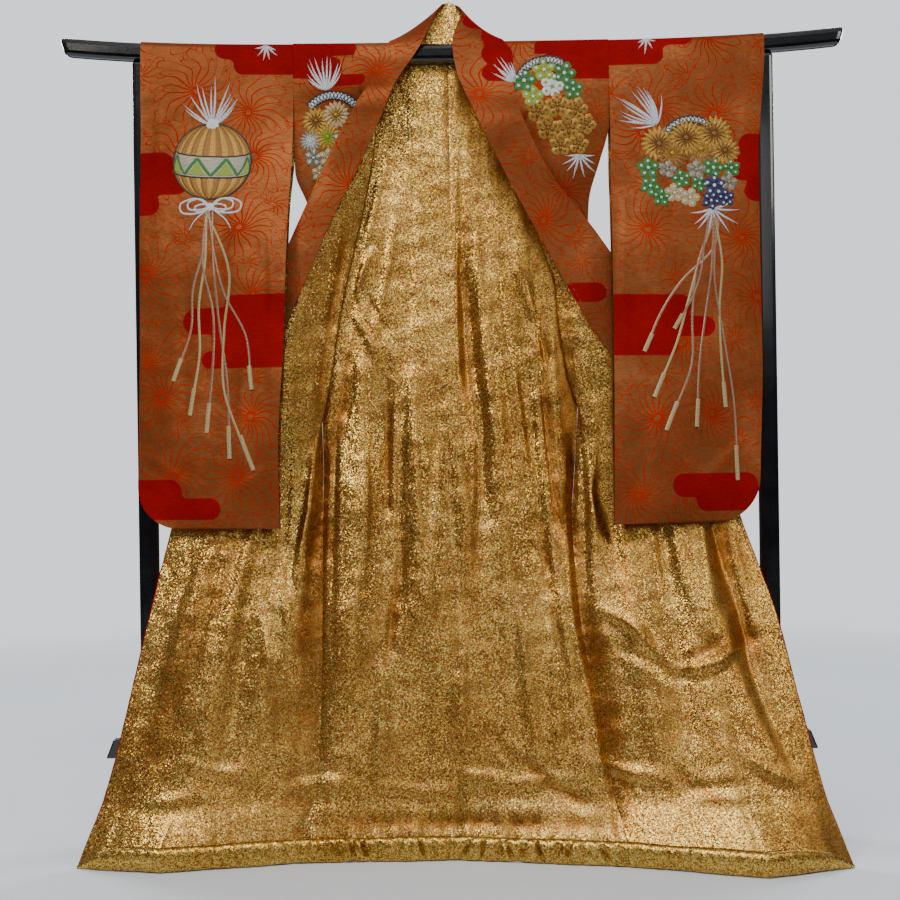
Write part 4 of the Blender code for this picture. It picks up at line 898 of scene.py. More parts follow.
def make_hem_roll():
    """Padded hem roll, one piece to each panel, its cover gathered into uneven puckers."""
    points, marks = hem_path()
    distance = np.concatenate(([0.0], np.cumsum([(b - a).length for a, b in zip(points, points[1:])])))
    line = np.array([tuple(point) for point in points])
    dice = random.Random(41)
    gathers, s = [], 0.02
    while s < distance[-1]:
        gathers.append((s, dice.uniform(0.35, 1.0), dice.uniform(0.0030, 0.0060), dice.uniform(-0.7, 0.7)))
        s += dice.uniform(0.014, 0.036)
    names = ("okumi_left", "front_left", "back_left", "back_right", "front_right", "okumi_right")

    def foot_at(s):
        return [float(np.interp(s, distance, line[:, i])) for i in (0, 1)]

    for name, start, end in zip(names, marks, marks[1:]):
        s0 = distance[start] + SEAM_INSET * (start > 0)
        s1 = distance[end] - SEAM_INSET * (end < len(points) - 1)
        stations = np.linspace(s0, s1, max(12, round((s1 - s0) / HEM_STEP)) + 1)
        vertices = []
        for s in stations:
            here, ahead, behind = foot_at(s), foot_at(s + 0.02), foot_at(s - 0.02)
            along = Vector((ahead[0] - behind[0], ahead[1] - behind[1], 0.0))
            across = Vector((-along.y, along.x, 0.0)).normalized()
            side = -1 if here[0] < CENTRE_X else 1
            height = hem_height(side, here[0])
            full = (height - FUKI_TIP_HEIGHT) / (FUKI_HEIGHT - FUKI_TIP_HEIGHT)
            thick = between(FUKI_TIP_THICKNESS, FUKI_THICKNESS, full)
            swell = math.exp(-(here[0] / GATHER_HALF_SPAN) ** 4)
            lump = HEM_LUMP * full * math.sin(31.0 * s) * math.sin(11.0 * s + 1.0)
            for i in range(HEM_ROUND_POINTS):
                angle = 2.0 * math.pi * (i + 0.5) / HEM_ROUND_POINTS
                high = math.sin(angle)
                pinch = 0.0
                for place, depth, width, lean in gathers:
                    off = s - place - lean * GATHER_LEAN * high
                    if abs(off) < 3.0 * width:
                        pull = GATHER_PINCH * depth * math.exp(-(off / width) ** 2)
                        pinch += pull * (1.0 - 0.92 * high ** 2)
                uneven = HEM_UNEVENNESS * ripple(np.array(s * 3.0), np.array(angle * 0.02), 0.05, 51)
                shrink = pinch * full * swell - lump + float(uneven) * full
                out, up = thick / 2.0 - shrink, height / 2.0 - shrink * 0.8
                y = out * math.copysign(abs(math.cos(angle)) ** 0.95, math.cos(angle))
                z = up * math.copysign(abs(high) ** 0.8, high)
                level = max(0.0003, height / 2.0 + z)
                vertices.append((here[0] + across.x * y, here[1] + across.y * y, level))
        faces = []
        rings = len(stations)
        for r in range(rings - 1):
            for i in range(HEM_ROUND_POINTS):
                j = (i + 1) % HEM_ROUND_POINTS
                a, b = r * HEM_ROUND_POINTS + i, r * HEM_ROUND_POINTS + j
                faces.append((a, a + HEM_ROUND_POINTS, b + HEM_ROUND_POINTS, b))
        faces.append(tuple(range(HEM_ROUND_POINTS)))
        faces.append(tuple((rings - 1) * HEM_ROUND_POINTS + i for i in reversed(range(HEM_ROUND_POINTS))))
        roll = finish_piece("hem_roll_" + name, vertices, faces, (hem_lame,), None, "fuki_" + name,
                            60.0)
        rewound = bmesh.new()
        rewound.from_mesh(roll.data)
        bmesh.ops.recalc_face_normals(rewound, faces=rewound.faces)
        rewound.to_mesh(roll.data)
        rewound.free()


def linear(code):
    """Linear colour of an sRGB hex code."""
    parts = [int(code[i:i + 2], 16) / 255.0 for i in (1, 3, 5)]
    return tuple(c / 12.92 if c <= 0.04045 else ((c + 0.055) / 1.055) ** 2.4 for c in parts) + (1.0,)


def put(tree, kind, inputs=None, stops=(), **settings):
    """Add a node with its settings; its inputs take values, sockets or whole nodes, and a ramp's
    stops are places with hex colours."""
    node = tree.nodes.new(kind)
    for name, value in settings.items():
        setattr(node, name, value)
    for name, value in (inputs or {}).items():
        if isinstance(value, bpy.types.Node):
            value = value.outputs[0]
        if isinstance(value, bpy.types.NodeSocket):
            tree.links.new(value, node.inputs[name])
        else:
            node.inputs[name].default_value = value
    for i, (place, code) in enumerate(stops):
        band = node.color_ramp.elements
        element = band[i] if i < len(band) else band.new(1.0)
        element.position = place
        element.color = linear(code)
    return node


def new_material(name):
    """Material with an empty node tree, and the function that adds nodes to it."""
    material = bpy.data.materials.new(name)
    material.use_nodes = True
    material.node_tree.nodes.clear()
    return material, partial(put, material.node_tree)


def flower_lines(add, plane, cell, petals, reach, line):
    """Outlines of long-petalled chrysanthemums, one to each cell of about the size cell, and the
    distance left outside them. Sizes in metres."""
    cells = add("ShaderNodeTexVoronoi", {"Vector": plane, "Scale": 1.0 / cell, "Randomness": 0.85},
                voronoi_dimensions="2D")
    away = add("ShaderNodeVectorMath", {0: plane, 1: cells.outputs["Position"]}, operation="SUBTRACT")
    radius = add("ShaderNodeVectorMath", {0: away}, operation="LENGTH").outputs["Value"]
    parts = add("ShaderNodeSeparateXYZ", {0: away})
    dice = add("ShaderNodeSeparateXYZ", {0: cells.outputs["Color"]})
    angle = add("ShaderNodeMath", {0: parts.outputs[1], 1: parts.outputs[0]}, operation="ARCTAN2")
    phase = add("ShaderNodeMath", {0: dice.outputs[0], 1: 6.28}, operation="MULTIPLY")
    bend = add("ShaderNodeMath", {0: radius, 1: 52.0, 2: phase}, operation="MULTIPLY_ADD")
    bend = add("ShaderNodeMath", {0: bend}, operation="SINE")
    turn = add("ShaderNodeMath", {0: angle, 1: petals / (2.0 * math.pi), 2: 20.0}, operation="MULTIPLY_ADD")
    turn = add("ShaderNodeMath", {0: bend, 1: 0.75, 2: turn}, operation="MULTIPLY_ADD")
    share = add("ShaderNodeMath", {0: turn}, operation="FRACT")
    number = add("ShaderNodeMath", {0: turn}, operation="FLOOR")
    number = add("ShaderNodeMath", {0: dice.outputs[1], 1: 97.0, 2: number}, operation="MULTIPLY_ADD")
    luck = add("ShaderNodeTexWhiteNoise", {"W": number}, noise_dimensions="1D")
    side = add("ShaderNodeMath", {0: share, 1: 0.5}, operation="SUBTRACT")
    side = add("ShaderNodeMath", {0: side}, operation="ABSOLUTE")
    gap = add("ShaderNodeMath", {0: 0.5, 1: side}, operation="SUBTRACT")
    gap = add("ShaderNodeMath", {0: gap, 1: radius}, operation="MULTIPLY")
    gap = add("ShaderNodeMath", {0: gap, 1: 2.0 * math.pi / petals}, operation="MULTIPLY")
    end = add("ShaderNodeMath", {0: luck.outputs["Value"], 1: reach * 0.45, 2: reach * 0.62},
              operation="MULTIPLY_ADD")
    square = add("ShaderNodeMath", {0: side, 1: side}, operation="MULTIPLY")
    end = add("ShaderNodeMath", {0: square, 1: -0.085, 2: end}, operation="MULTIPLY_ADD")
    over = add("ShaderNodeMath", {0: radius, 1: end}, operation="SUBTRACT")
    tip = add("ShaderNodeMath", {0: over}, operation="ABSOLUTE")
    near = add("ShaderNodeMath", {0: gap, 1: tip}, operation="MINIMUM")
    near = add("ShaderNodeMath", {0: near, 1: over}, operation="MAXIMUM")
    hole = add("ShaderNodeMath", {0: 0.007, 1: radius}, operation="SUBTRACT")
    near = add("ShaderNodeMath", {0: near, 1: hole}, operation="MAXIMUM")
    mask = add("ShaderNodeMapRange", {0: near, 1: line * 0.7, 2: line * 1.4, 3: 1.0, 4: 0.0})
    return mask, over


# Noise cells to the metre along and across the brocade's weft
WEFT_CELLS = (90.0, 90.0, 520.0)
# Stretches of foil to the metre, and distance between the ribs of embroidery thread
FOIL_GRAINS = 560.0
RIB_SPACING = 0.0028


def make_brocade():
    """Figured silk: copper-gold weft ground, red silk line flowers, plain red cloud bands.

    The metal weft gives a low warm sheen, the red silk lies a little proud and is softer. The
    weft ribs are drawn about 2 mm apart, coarser than the real thread, so that they show."""
    material, add = new_material("figured_silk_brocade")
    place = add("ShaderNodeTexCoord").outputs["Object"]
    axes = add("ShaderNodeSeparateXYZ", {0: place})
    plane = add("ShaderNodeCombineXYZ", {0: axes.outputs[0], 1: axes.outputs[2]})
    drift = add("ShaderNodeTexNoise", {"Vector": plane, "Scale": 11.0, "Detail": 2.0})
    drift = add("ShaderNodeVectorMath", {0: drift.outputs["Color"], 1: (0.5, 0.5, 0.5)},
                operation="SUBTRACT")
    drift = add("ShaderNodeVectorMath", {0: drift, 1: (0.035, 0.035, 0.0)}, operation="MULTIPLY")
    bent = add("ShaderNodeVectorMath", {0: plane, 1: drift}, operation="ADD")
    large, outside = flower_lines(add, bent, cell=0.165, petals=19, reach=0.098, line=0.00115)
    moved = add("ShaderNodeVectorMath", {0: bent, 1: (3.07, 5.11, 0.0)}, operation="ADD")
    small, _ = flower_lines(add, moved, cell=0.080, petals=12, reach=0.056, line=0.0010)
    free = add("ShaderNodeMapRange", {0: outside, 1: 0.001, 2: 0.004, 3: 0.0, 4: 1.0})
    small = add("ShaderNodeMath", {0: small, 1: free}, operation="MULTIPLY")
    lines = add("ShaderNodeMath", {0: large, 1: small}, operation="MAXIMUM")
    distance = add("ShaderNodeAttribute", attribute_name="cloud")
    cloud = add("ShaderNodeMapRange", {0: distance.outputs["Fac"], 1: -0.0008, 2: 0.0008, 3: 1.0, 4: 0.0})
    drawn = add("ShaderNodeMath", {0: lines, 1: cloud}, operation="MAXIMUM")
    threads = add("ShaderNodeVectorMath", {0: place, 1: WEFT_CELLS}, operation="MULTIPLY")
    weft = add("ShaderNodeTexNoise", {"Vector": threads, "Scale": 1.0, "Detail": 2.0})
    shade = add("ShaderNodeTexNoise", {"Vector": place, "Scale": 7.0, "Detail": 3.0})
    mixed = add("ShaderNodeMath", {0: weft.outputs[0], 1: 0.35}, operation="MULTIPLY")
    mixed = add("ShaderNodeMath", {0: shade.outputs[0], 1: 0.65, 2: mixed}, operation="MULTIPLY_ADD")
    ramps = ([(0.30, "#693a1d"), (0.52, "#814827"), (0.76, "#a3683c")],
             [(0.38, "#901102"), (0.60, "#b01c04"), (0.76, "#cc2d0c")],
             [(0.38, "#780101"), (0.60, "#900301"), (0.76, "#a60602")])
    ground, line_red, full_red = (add("ShaderNodeValToRGB", {"Fac": mixed}, stops=stops) for stops in ramps)
    colour = add("ShaderNodeMixRGB", {0: lines, 1: ground, 2: line_red})
    colour = add("ShaderNodeMixRGB", {0: cloud, 1: colour, 2: full_red})
    metal = add("ShaderNodeMapRange", {0: drawn, 1: 0.0, 2: 1.0, 3: 0.45, 4: 0.0})
    rough = add("ShaderNodeMapRange", {0: drawn, 1: 0.0, 2: 1.0, 3: 0.46, 4: 0.58})
    height = add("ShaderNodeMath", {0: drawn, 1: 0.5, 2: weft.outputs[0]}, operation="MULTIPLY_ADD")
    fine = add("ShaderNodeBump", {"Strength": 0.35, "Distance": 0.0005, "Height": height})
    slack = add("ShaderNodeTexNoise", {"Vector": place, "Scale": 32.0, "Detail": 4.0, "Roughness": 0.55})
    soft = add("ShaderNodeBump", {"Strength": 0.5, "Distance": 0.0030, "Height": slack.outputs[0],
                                  "Normal": fine})
    shader = add("ShaderNodeBsdfPrincipled", {"Base Color": colour, "Metallic": metal, "Roughness": rough,
                                              "Normal": soft, "Specular IOR Level": 0.06,
                                              "Specular Tint": linear("#ff9a6a")})
    add("ShaderNodeOutputMaterial", {"Surface": shader})
    return material


def make_lame(name, bare_share):
    """Gold lame: flat metal-foil weft over an orange-brown silk warp, crumpled by wear.

    Each short stretch of foil lies at its own tilt, so the cloth glitters in grains, and a share of
    them shows the warp. They are drawn about 1.8 mm wide, twice the real size, to show at all."""
    material, add = new_material(name)
    place = add("ShaderNodeTexCoord").outputs["Object"]
    grains = add("ShaderNodeTexVoronoi", {"Vector": place, "Scale": FOIL_GRAINS})
    dice = add("ShaderNodeSeparateXYZ", {0: grains.outputs["Color"]})
    broad = add("ShaderNodeTexNoise", {"Vector": place, "Scale": 5.5, "Detail": 3.0})
    mottle = add("ShaderNodeTexNoise", {"Vector": place, "Scale": 70.0, "Detail": 3.0})
    tone = add("ShaderNodeMath", {0: broad.outputs[0], 1: 0.35, 2: -0.175}, operation="MULTIPLY_ADD")
    tone = add("ShaderNodeMath", {0: mottle.outputs[0], 1: 0.20, 2: tone}, operation="MULTIPLY_ADD")
    tone = add("ShaderNodeMath", {0: dice.outputs[0], 1: 0.70, 2: tone}, operation="MULTIPLY_ADD")
    colour = add("ShaderNodeValToRGB", {"Fac": tone},
                 stops=[(0.08, "#66380a"), (0.36, "#aa7a30"), (0.62, "#d6b052"), (0.90, "#f1de8e")])
    bare = add("ShaderNodeMapRange", {0: dice.outputs[1], 1: 1.0 - bare_share, 2: 1.06 - bare_share, 3: 0.0,
                                      4: 1.0})
    colour = add("ShaderNodeMixRGB", {0: bare, 1: colour, 2: linear("#8f420c")})
    # In the hollows the colour is mixed towards orange-brown #8a4608 as painted shade, where the foil turns
    # from the light; the hollows also calm the grains' tilt
    sunk = add("ShaderNodeAttribute", attribute_name="hollow").outputs["Fac"]
    painted_hollow_shade = add("ShaderNodeMath", {0: sunk, 1: 0.80}, operation="MULTIPLY")
    colour = add("ShaderNodeMixRGB", {0: painted_hollow_shade, 1: colour, 2: linear("#8a4608")})
    metal = add("ShaderNodeMapRange", {0: bare, 1: 0.0, 2: 1.0, 3: 1.0, 4: 0.1})
    calm = add("ShaderNodeMapRange", {0: sunk, 1: 0.0, 2: 1.0, 3: 0.30, 4: 0.10})
    crumple = add("ShaderNodeTexNoise", {"Vector": place, "Scale": 60.0, "Detail": 3.0, "Roughness": 0.5})
    wide = add("ShaderNodeVectorMath", {0: place, 1: (26.0, 26.0, 11.0)}, operation="MULTIPLY")
    wide = add("ShaderNodeTexNoise", {"Vector": wide, "Scale": 1.0, "Detail": 2.0, "Roughness": 0.45})
    soft = add("ShaderNodeBump", {"Strength": 0.17, "Distance": 0.010, "Height": wide.outputs[0]})
    fine = add("ShaderNodeBump", {"Strength": 0.24, "Distance": 0.0022, "Height": crumple.outputs[0],
                                  "Normal": soft})
    tilt = add("ShaderNodeVectorMath", {0: grains.outputs["Color"], 1: (0.5, 0.5, 0.5)},
               operation="SUBTRACT")
    tilt = add("ShaderNodeVectorMath", {0: tilt, "Scale": calm}, operation="SCALE")
    tilted = add("ShaderNodeVectorMath", {0: fine, 1: tilt}, operation="ADD")
    tilted = add("ShaderNodeVectorMath", {0: tilted}, operation="NORMALIZE")
    shader = add("ShaderNodeBsdfPrincipled", {"Base Color": colour, "Metallic": metal, "Roughness": 0.30,
                                              "Normal": tilted})
    add("ShaderNodeOutputMaterial", {"Surface": shader})
    return material


def make_lacquer():
    """Black urushi-style lacquer on wood: deep gloss, slightly wavy from brushing and polishing."""
    material, add = new_material("black_lacquer_gloss")
    place = add("ShaderNodeTexCoord").outputs["Object"]
    streak = add("ShaderNodeVectorMath", {0: place, 1: (14.0, 60.0, 14.0)}, operation="MULTIPLY")
    brushed = add("ShaderNodeTexNoise", {"Vector": streak, "Scale": 1.0, "Detail": 3.0})
    dust = add("ShaderNodeTexNoise", {"Vector": place, "Scale": 260.0, "Detail": 2.0})
    rough = add("ShaderNodeMath", {0: dust.outputs[0], 1: 0.16, 2: 0.05}, operation="MULTIPLY_ADD")
    rough = add("ShaderNodeMath", {0: brushed.outputs[0], 1: 0.12, 2: rough}, operation="MULTIPLY_ADD")
    colour = add("ShaderNodeValToRGB", {"Fac": brushed}, stops=[(0.35, "#070708"), (0.7, "#111113")])
    wave = add("ShaderNodeBump", {"Strength": 0.25, "Distance": 0.0012, "Height": brushed.outputs[0]})
    shader = add("ShaderNodeBsdfPrincipled",
                 {"Base Color": colour, "Roughness": rough, "Normal": wave, "Coat Weight": 0.5,
                  "Coat Roughness": 0.08})
    add("ShaderNodeOutputMaterial", {"Surface": shader})
    return material


def make_thread(name, dark, light, metal, rough):
    """Embroidery thread laid side by side in satin stitch: ribs run along each stitch, and painted
    shade darkens the colour in the grooves between them.

    The ribs are drawn 2.8 mm apart, a small bundle of the real thread, so that they show."""
    material, add = new_material(name)
    uv = add("ShaderNodeTexCoord").outputs["UV"]
    parts = add("ShaderNodeSeparateXYZ", {0: uv})
    stitch = add("ShaderNodeMath", {0: parts.outputs[1], 1: 2.0 * math.pi / RIB_SPACING},
                 operation="MULTIPLY")
    rib_and_groove_shade = add("ShaderNodeMath", {0: stitch}, operation="SINE")
    grain = add("ShaderNodeTexNoise", {"Vector": uv, "Scale": 420.0, "Detail": 2.0})
    # The rib wave darkens the colour in each groove as painted shade, and the noise grain varies it at
    # random; the same tone is the ribs' bump height
    tone = add("ShaderNodeMath", {0: rib_and_groove_shade, 1: 0.22, 2: grain.outputs[0]}, operation="MULTIPLY_ADD")
    colour = add("ShaderNodeValToRGB", {"Fac": tone}, stops=[(0.28, dark), (0.66, light)])
    ribs = add("ShaderNodeBump", {"Strength": 0.6, "Distance": 0.0005, "Height": tone})
    shader = add("ShaderNodeBsdfPrincipled", {"Base Color": colour, "Metallic": metal, "Roughness": rough,
                                              "Normal": ribs, "Sheen Weight": 0.2})
    add("ShaderNodeOutputMaterial", {"Surface": shader})
    return material


# The paper floor: its radius, and the distances at which it starts to fade and is gone
FLOOR_RADIUS = 5.0
FLOOR_CORNERS = 48
FLOOR_FADE = (2.2, 4.2)


def make_paper_floor():
    """Pale studio paper: matt, with the faintest unevenness, fading out round the part."""
    material, add = new_material("pale_studio_paper")
    place = add("ShaderNodeTexCoord").outputs["Object"]
    cast = add("ShaderNodeTexNoise", {"Vector": place, "Scale": 1.2, "Detail": 2.0})
    colour = add("ShaderNodeValToRGB", {"Fac": cast}, stops=[(0.3, "#dde4ea"), (0.7, "#e4eaf0")])
    paper = add("ShaderNodeBsdfPrincipled", {"Base Color": colour, "Roughness": 0.85})
    reach = add("ShaderNodeVectorMath", {0: place}, operation="LENGTH").outputs["Value"]
    gone = add("ShaderNodeMapRange", {0: reach, 1: FLOOR_FADE[0], 2: FLOOR_FADE[1], 3: 0.0, 4: 1.0},
               interpolation_type="SMOOTHSTEP")
    surface = add("ShaderNodeMixShader", {
        0: gone, 1: paper, 2: add("ShaderNodeBsdfTransparent")})
    add("ShaderNodeOutputMaterial", {"Surface": surface})
    return material


brocade = make_brocade()
lame = make_lame("gold_foil_lame", 0.26)
hem_lame = make_lame("gold_foil_hem_lame", 0.08)
lacquer = make_lacquer()
gold_thread = make_thread("gold_thread", "#6b470c", "#c2922c", 0.35, 0.42)
deep_gold_thread = make_thread("deep_gold_thread", "#5c3806", "#935f0c", 0.35, 0.42)
silver_thread = make_thread("silver_thread", "#625d52", "#9c9482", 0.35, 0.40)
white_thread = make_thread("white_silk_thread", "#9a9ca1", "#e4e6e8", 0.0, 0.50)
green_thread = make_thread("green_silk_thread", "#0d3d0d", "#23801c", 0.0, 0.50)
lime_thread = make_thread("lime_silk_thread", "#5b7410", "#9aaa1e", 0.0, 0.50)
navy_thread = make_thread("navy_silk_thread", "#060a26", "#141e5c", 0.0, 0.50)
cream_thread = make_thread("cream_silk_thread", "#7d6a44", "#c4ad78", 0.1, 0.45)
black_thread = make_thread("black_silk_thread", "#08090c", "#1a1b22", 0.0, 0.50)
foil_ribbon = make_thread("foil_ribbon_thread", "#6e4a34", "#b99274", 0.5, 0.36)
brocade_thread = make_thread("copper_silk_thread", "#5c2a12", "#9a4c22", 0.1, 0.5)
THREADS = (gold_thread, deep_gold_thread, silver_thread, white_thread, green_thread, lime_thread,
           navy_thread, cream_thread, black_thread, foil_ribbon)
GOLD, DEEP_GOLD, SILVER, WHITE, GREEN, LIME, NAVY, CREAM, BLACK, FOIL = range(10)


# Mist bands of plain red silk woven into the front: rows of round-ended bars, each given by its
# two ends, its height and its half width
Bar = namedtuple("Bar", "start_x end_x z half")
MIST = {
    "sleeve_silk_left": named(Bar, [
        (-0.495, -0.300, 1.642, 0.022), (-0.455, -0.300, 1.606, 0.020),
        (-0.720, -0.580, 1.400, 0.026), (-0.720, -0.550, 1.358, 0.022), (-0.720, -0.610, 1.316, 0.022),
        (-0.560, -0.300, 1.070, 0.027), (-0.500, -0.300, 1.028, 0.022), (-0.520, -0.300, 0.990, 0.018),
        (-0.470, -0.300, 1.108, 0.014), (-0.720, -0.560, 0.720, 0.028), (-0.700, -0.480, 0.688, 0.022),
    ]),
    "sleeve_silk_right": named(Bar, [
        (0.300, 0.500, 1.656, 0.018), (0.300, 0.440, 1.620, 0.024),
        (0.590, 0.720, 1.424, 0.024), (0.570, 0.720, 1.376, 0.026), (0.600, 0.720, 1.328, 0.022),
        (0.300, 0.480, 1.088, 0.023), (0.300, 0.530, 1.046, 0.021), (0.300, 0.450, 1.006, 0.020),
        (0.430, 0.610, 0.722, 0.024), (0.480, 0.660, 0.690, 0.021),
    ]),
    "body_silk_left": named(Bar, [
        (-0.360, -0.200, 1.640, 0.022), (-0.360, -0.230, 1.598, 0.020), (-0.300, -0.180, 1.570, 0.012),
    ]),
    "body_silk_right": named(Bar, [
        (0.170, 0.360, 1.634, 0.022), (0.210, 0.360, 1.590, 0.022), (0.160, 0.250, 1.600, 0.014),
    ]),
    "collar_band": named(Bar, [
        (0.060, 0.200, 1.622, 0.022), (0.060, 0.160, 1.580, 0.018), (0.060, 0.210, 1.660, 0.022),
        (0.020, 0.120, 1.700, 0.022), (-0.250, -0.160, 1.170, 0.020), (0.220, 0.310, 1.120, 0.020),
    ]),
}
BACK_MIST = named(Bar, [
    (-0.245, -0.085, 1.33, 0.026), (-0.190, -0.020, 1.28, 0.021), (-0.130, -0.060, 1.375, 0.019),
    (0.070, 0.235, 1.02, 0.026), (0.120, 0.290, 0.97, 0.021), (-0.290, -0.150, 0.70, 0.024),
    (-0.230, -0.090, 0.655, 0.019), (0.020, 0.190, 0.48, 0.026), (0.090, 0.270, 0.43, 0.021),
    (-0.560, -0.420, 1.32, 0.024), (-0.520, -0.390, 1.275, 0.019), (0.420, 0.570, 0.98, 0.024),
    (0.460, 0.620, 0.935, 0.019), (-0.260, -0.120, 0.26, 0.022), (0.350, 0.480, 1.50, 0.022),
])


MIST_BLEND = 0.012


def bars_distance(bars, x, z):
    """Distance outside the nearest bar, negative within, with the inner corners rounded."""
    near = np.full_like(x, 1.0)
    for bar in bars:
        inside = np.clip(x, bar.start_x + bar.half, bar.end_x - bar.half)
        near_bar = np.hypot(x - inside, z - bar.z) - bar.half
        blend = np.clip(0.5 + 0.5 * (near - near_bar) / MIST_BLEND, 0.0, 1.0)
        near = near + (near_bar - near) * blend - MIST_BLEND * blend * (1.0 - blend)
    return near


def vertex_columns(mesh, value):
    """The x, y and z of every vertex's place or normal, as three arrays."""
    numbers = np.empty(len(mesh.vertices) * 3)
    mesh.vertices.foreach_get(value, numbers)
    return numbers.reshape(-1, 3).T


def mark_vertices(mesh, name, values):
    """Vertex attribute that a material reads by its name."""
    layer = mesh.attributes.new(name, "FLOAT", "POINT")
    layer.data.foreach_set("value", values)


def add_mist(piece):
    """Tell the brocade how far each vertex is from the red: the mist bands and the red silk edge."""
    place = vertex_columns(piece.data, "co")
    x, z = place[0], place[2]
    facing_back = vertex_columns(piece.data, "normal")[1] > 0.3
    bars = MIST.get(piece.name, [])
    near = bars_distance(bars, x, z) if bars else np.full_like(x, 1.0)
    near = np.where(facing_back, bars_distance(BACK_MIST, x, z), near)
    if piece.name.startswith("overlap_silk"):
        near = np.full_like(x, -0.01)
    mark_vertices(piece.data, "cloud", near)


def add_hollow_shade(piece):
    """Tell the lining's material where its hollows lie, which it paints orange-brown as painted shade."""
    place = vertex_columns(piece.data, "co")
    mark_vertices(piece.data, "hollow", hollow_at(place[0], place[2]))


# Widths of leaves and ribbons, and the height of a thread ball's round side
LEAF_WIDTH = 0.0046
RIBBON_WIDTH = 0.0052
RIBBON_TIP_WIDTH = 0.0088
BALL_CROWN = 0.0062


def crown_at(longitude, shrink=1.0):
    """Height over the cloth of a thread ball's round side."""
    return BALL_CROWN * np.maximum(np.cos(longitude) * shrink, 0.0) ** 0.7


class Needlework:
    """Raised embroidery of one panel, laid out flat in x and z and then set on its cloth."""

    def __init__(self):
        self.points, self.uvs, self.faces, self.slots = [], [], [], []

    def patch(self, x, z, lift, along, across, thread):
        """Add a grid of points with their heights over the cloth, wound to face the front."""
        rows, columns = x.shape
        first = len(self.points)
        self.points += np.stack((x, z, np.broadcast_to(lift, x.shape)), axis=-1).reshape(-1, 3).tolist()
        grid = np.stack((np.broadcast_to(across, x.shape), np.broadcast_to(along, x.shape)), axis=-1)
        self.uvs += grid.reshape(-1, 2).tolist()
        middle = (rows // 2, columns // 2)
        run = np.gradient(x, axis=1)[middle] * np.gradient(z, axis=0)[middle]
        run -= np.gradient(z, axis=1)[middle] * np.gradient(x, axis=0)[middle]
        for r in range(rows - 1):
            for c in range(columns - 1):
                a = first + r * columns + c
                face = (a, a + 1, a + columns + 1, a + columns)
                self.faces.append(face if run > 0.0 else face[::-1])
                self.slots.append(thread)

    def petal(self, x, z, angle, length, width, thread, level=0.0016, blunt=0.8, curl=0.0, start=0.0):
        """Leaf or petal in satin stitch, pointed at both ends, that may curl to one side."""
        t = np.linspace(0.0, 1.0, 9)[:, None]
        c = np.linspace(-1.0, 1.0, 5)[None, :]
        half = np.maximum(width / 2.0 * np.sin(math.pi * t ** blunt) ** 0.7, 0.0002)
        turn = math.radians(angle) + curl * t
        reach = start + length * t
        lift = level * (1.0 - c ** 2) - 0.0003
        along, up = np.cos(turn), np.sin(turn)
        self.patch(x + reach * along - half * c * up, z + reach * up + half * c * along,
                   lift + 0.0 * t, reach + 0.0 * c, half * c, thread)

    def knot(self, x, z, radius, thread, level=0.0016):
        """Small round dot of thread."""
        ring = np.linspace(0.0, 2.0 * math.pi, 9)[None, :]
        size = np.array([0.05, 0.6, 1.0])[:, None] * radius
        lift = np.array([1.0, 0.7, 0.0])[:, None] * 0.0010 + level
        self.patch(x + size * np.cos(ring), z + size * np.sin(ring), lift + 0.0 * ring, size + 0.0 * ring,
                   radius * ring, thread)

    def plum(self, x, z, radius, thread, dots, turn=90.0, level=0.0016):
        """Five-petalled plum blossom with a knot on each petal and one in the middle."""
        for k in range(5):
            angle = turn + 72.0 * k
            way = math.radians(angle)
            self.petal(x, z, angle, radius, radius * 0.86, thread, level, 1.45, 0.0, radius * 0.04)
            self.knot(x + 0.62 * radius * math.cos(way), z + 0.62 * radius * math.sin(way), radius * 0.13,
                      dots, level)
        self.knot(x, z, radius * 0.15, dots, level)

    def chrysanthemum(self, x, z, radius, count, thread, inner, turn=0.0, level=0.0018):
        """Two rings of narrow petals round a small heart."""
        for k in range(count):
            angle = turn + 360.0 * k / count
            self.petal(x, z, angle, radius * 0.92, radius * 5.2 / count, thread, level, 1.25, 0.12,
                       radius * 0.08)
        for k in range(count - 4):
            angle = turn + 360.0 * (k + 0.5) / (count - 4)
            self.petal(x, z, angle, radius * 0.55, radius * 3.2 / count, inner, level + 0.0012, 1.2, -0.12,
                       radius * 0.04)
        self.knot(x, z, radius * 0.12, inner, level + 0.0012)

    def band(self, places, width, thread, level=0.0009, taper=1.0):
        """Flat couched band or cord along a smooth line of (x, z) places."""
        count = max(8, 6 * (len(places) - 1))
        line = along_curve(places, np.linspace(0.0, len(places) - 1.0001, count))
        step = np.gradient(line, axis=0)
        step /= np.maximum(np.linalg.norm(step, axis=1, keepdims=True), 1e-9)
        run = np.concatenate(([0.0], np.cumsum(np.linalg.norm(np.diff(line, axis=0), axis=1))))
        c = np.linspace(-1.0, 1.0, 4)[None, :]
        half = (width / 2.0 * between(1.0, taper, run / run[-1]))[:, None]
        self.patch(line[:, :1] - step[:, 1:] * half * c, line[:, 1:] + step[:, :1] * half * c,
                   level * (1.3 - c ** 2) - 0.0002 + 0.0 * half, run[:, None] + 0.0 * c, half * c, thread)

    def spray(self, x, z, first, last, count, length, thread, seed):
        """Fan of long pointed leaves between two directions in degrees."""
        dice = random.Random(seed)
        for k in range(count):
            share = k / (count - 1)
            angle = between(first, last, share) + dice.uniform(-4.0, 4.0)
            reach = length * (0.68 + 0.32 * math.sin(math.pi * share)) * dice.uniform(0.86, 1.1)
            curl = (0.5 - share) * -0.55 + dice.uniform(-0.12, 0.12)
            self.petal(x, z, angle, reach, LEAF_WIDTH, thread, 0.0020 + 0.0004 * (k % 2), 0.75, curl)

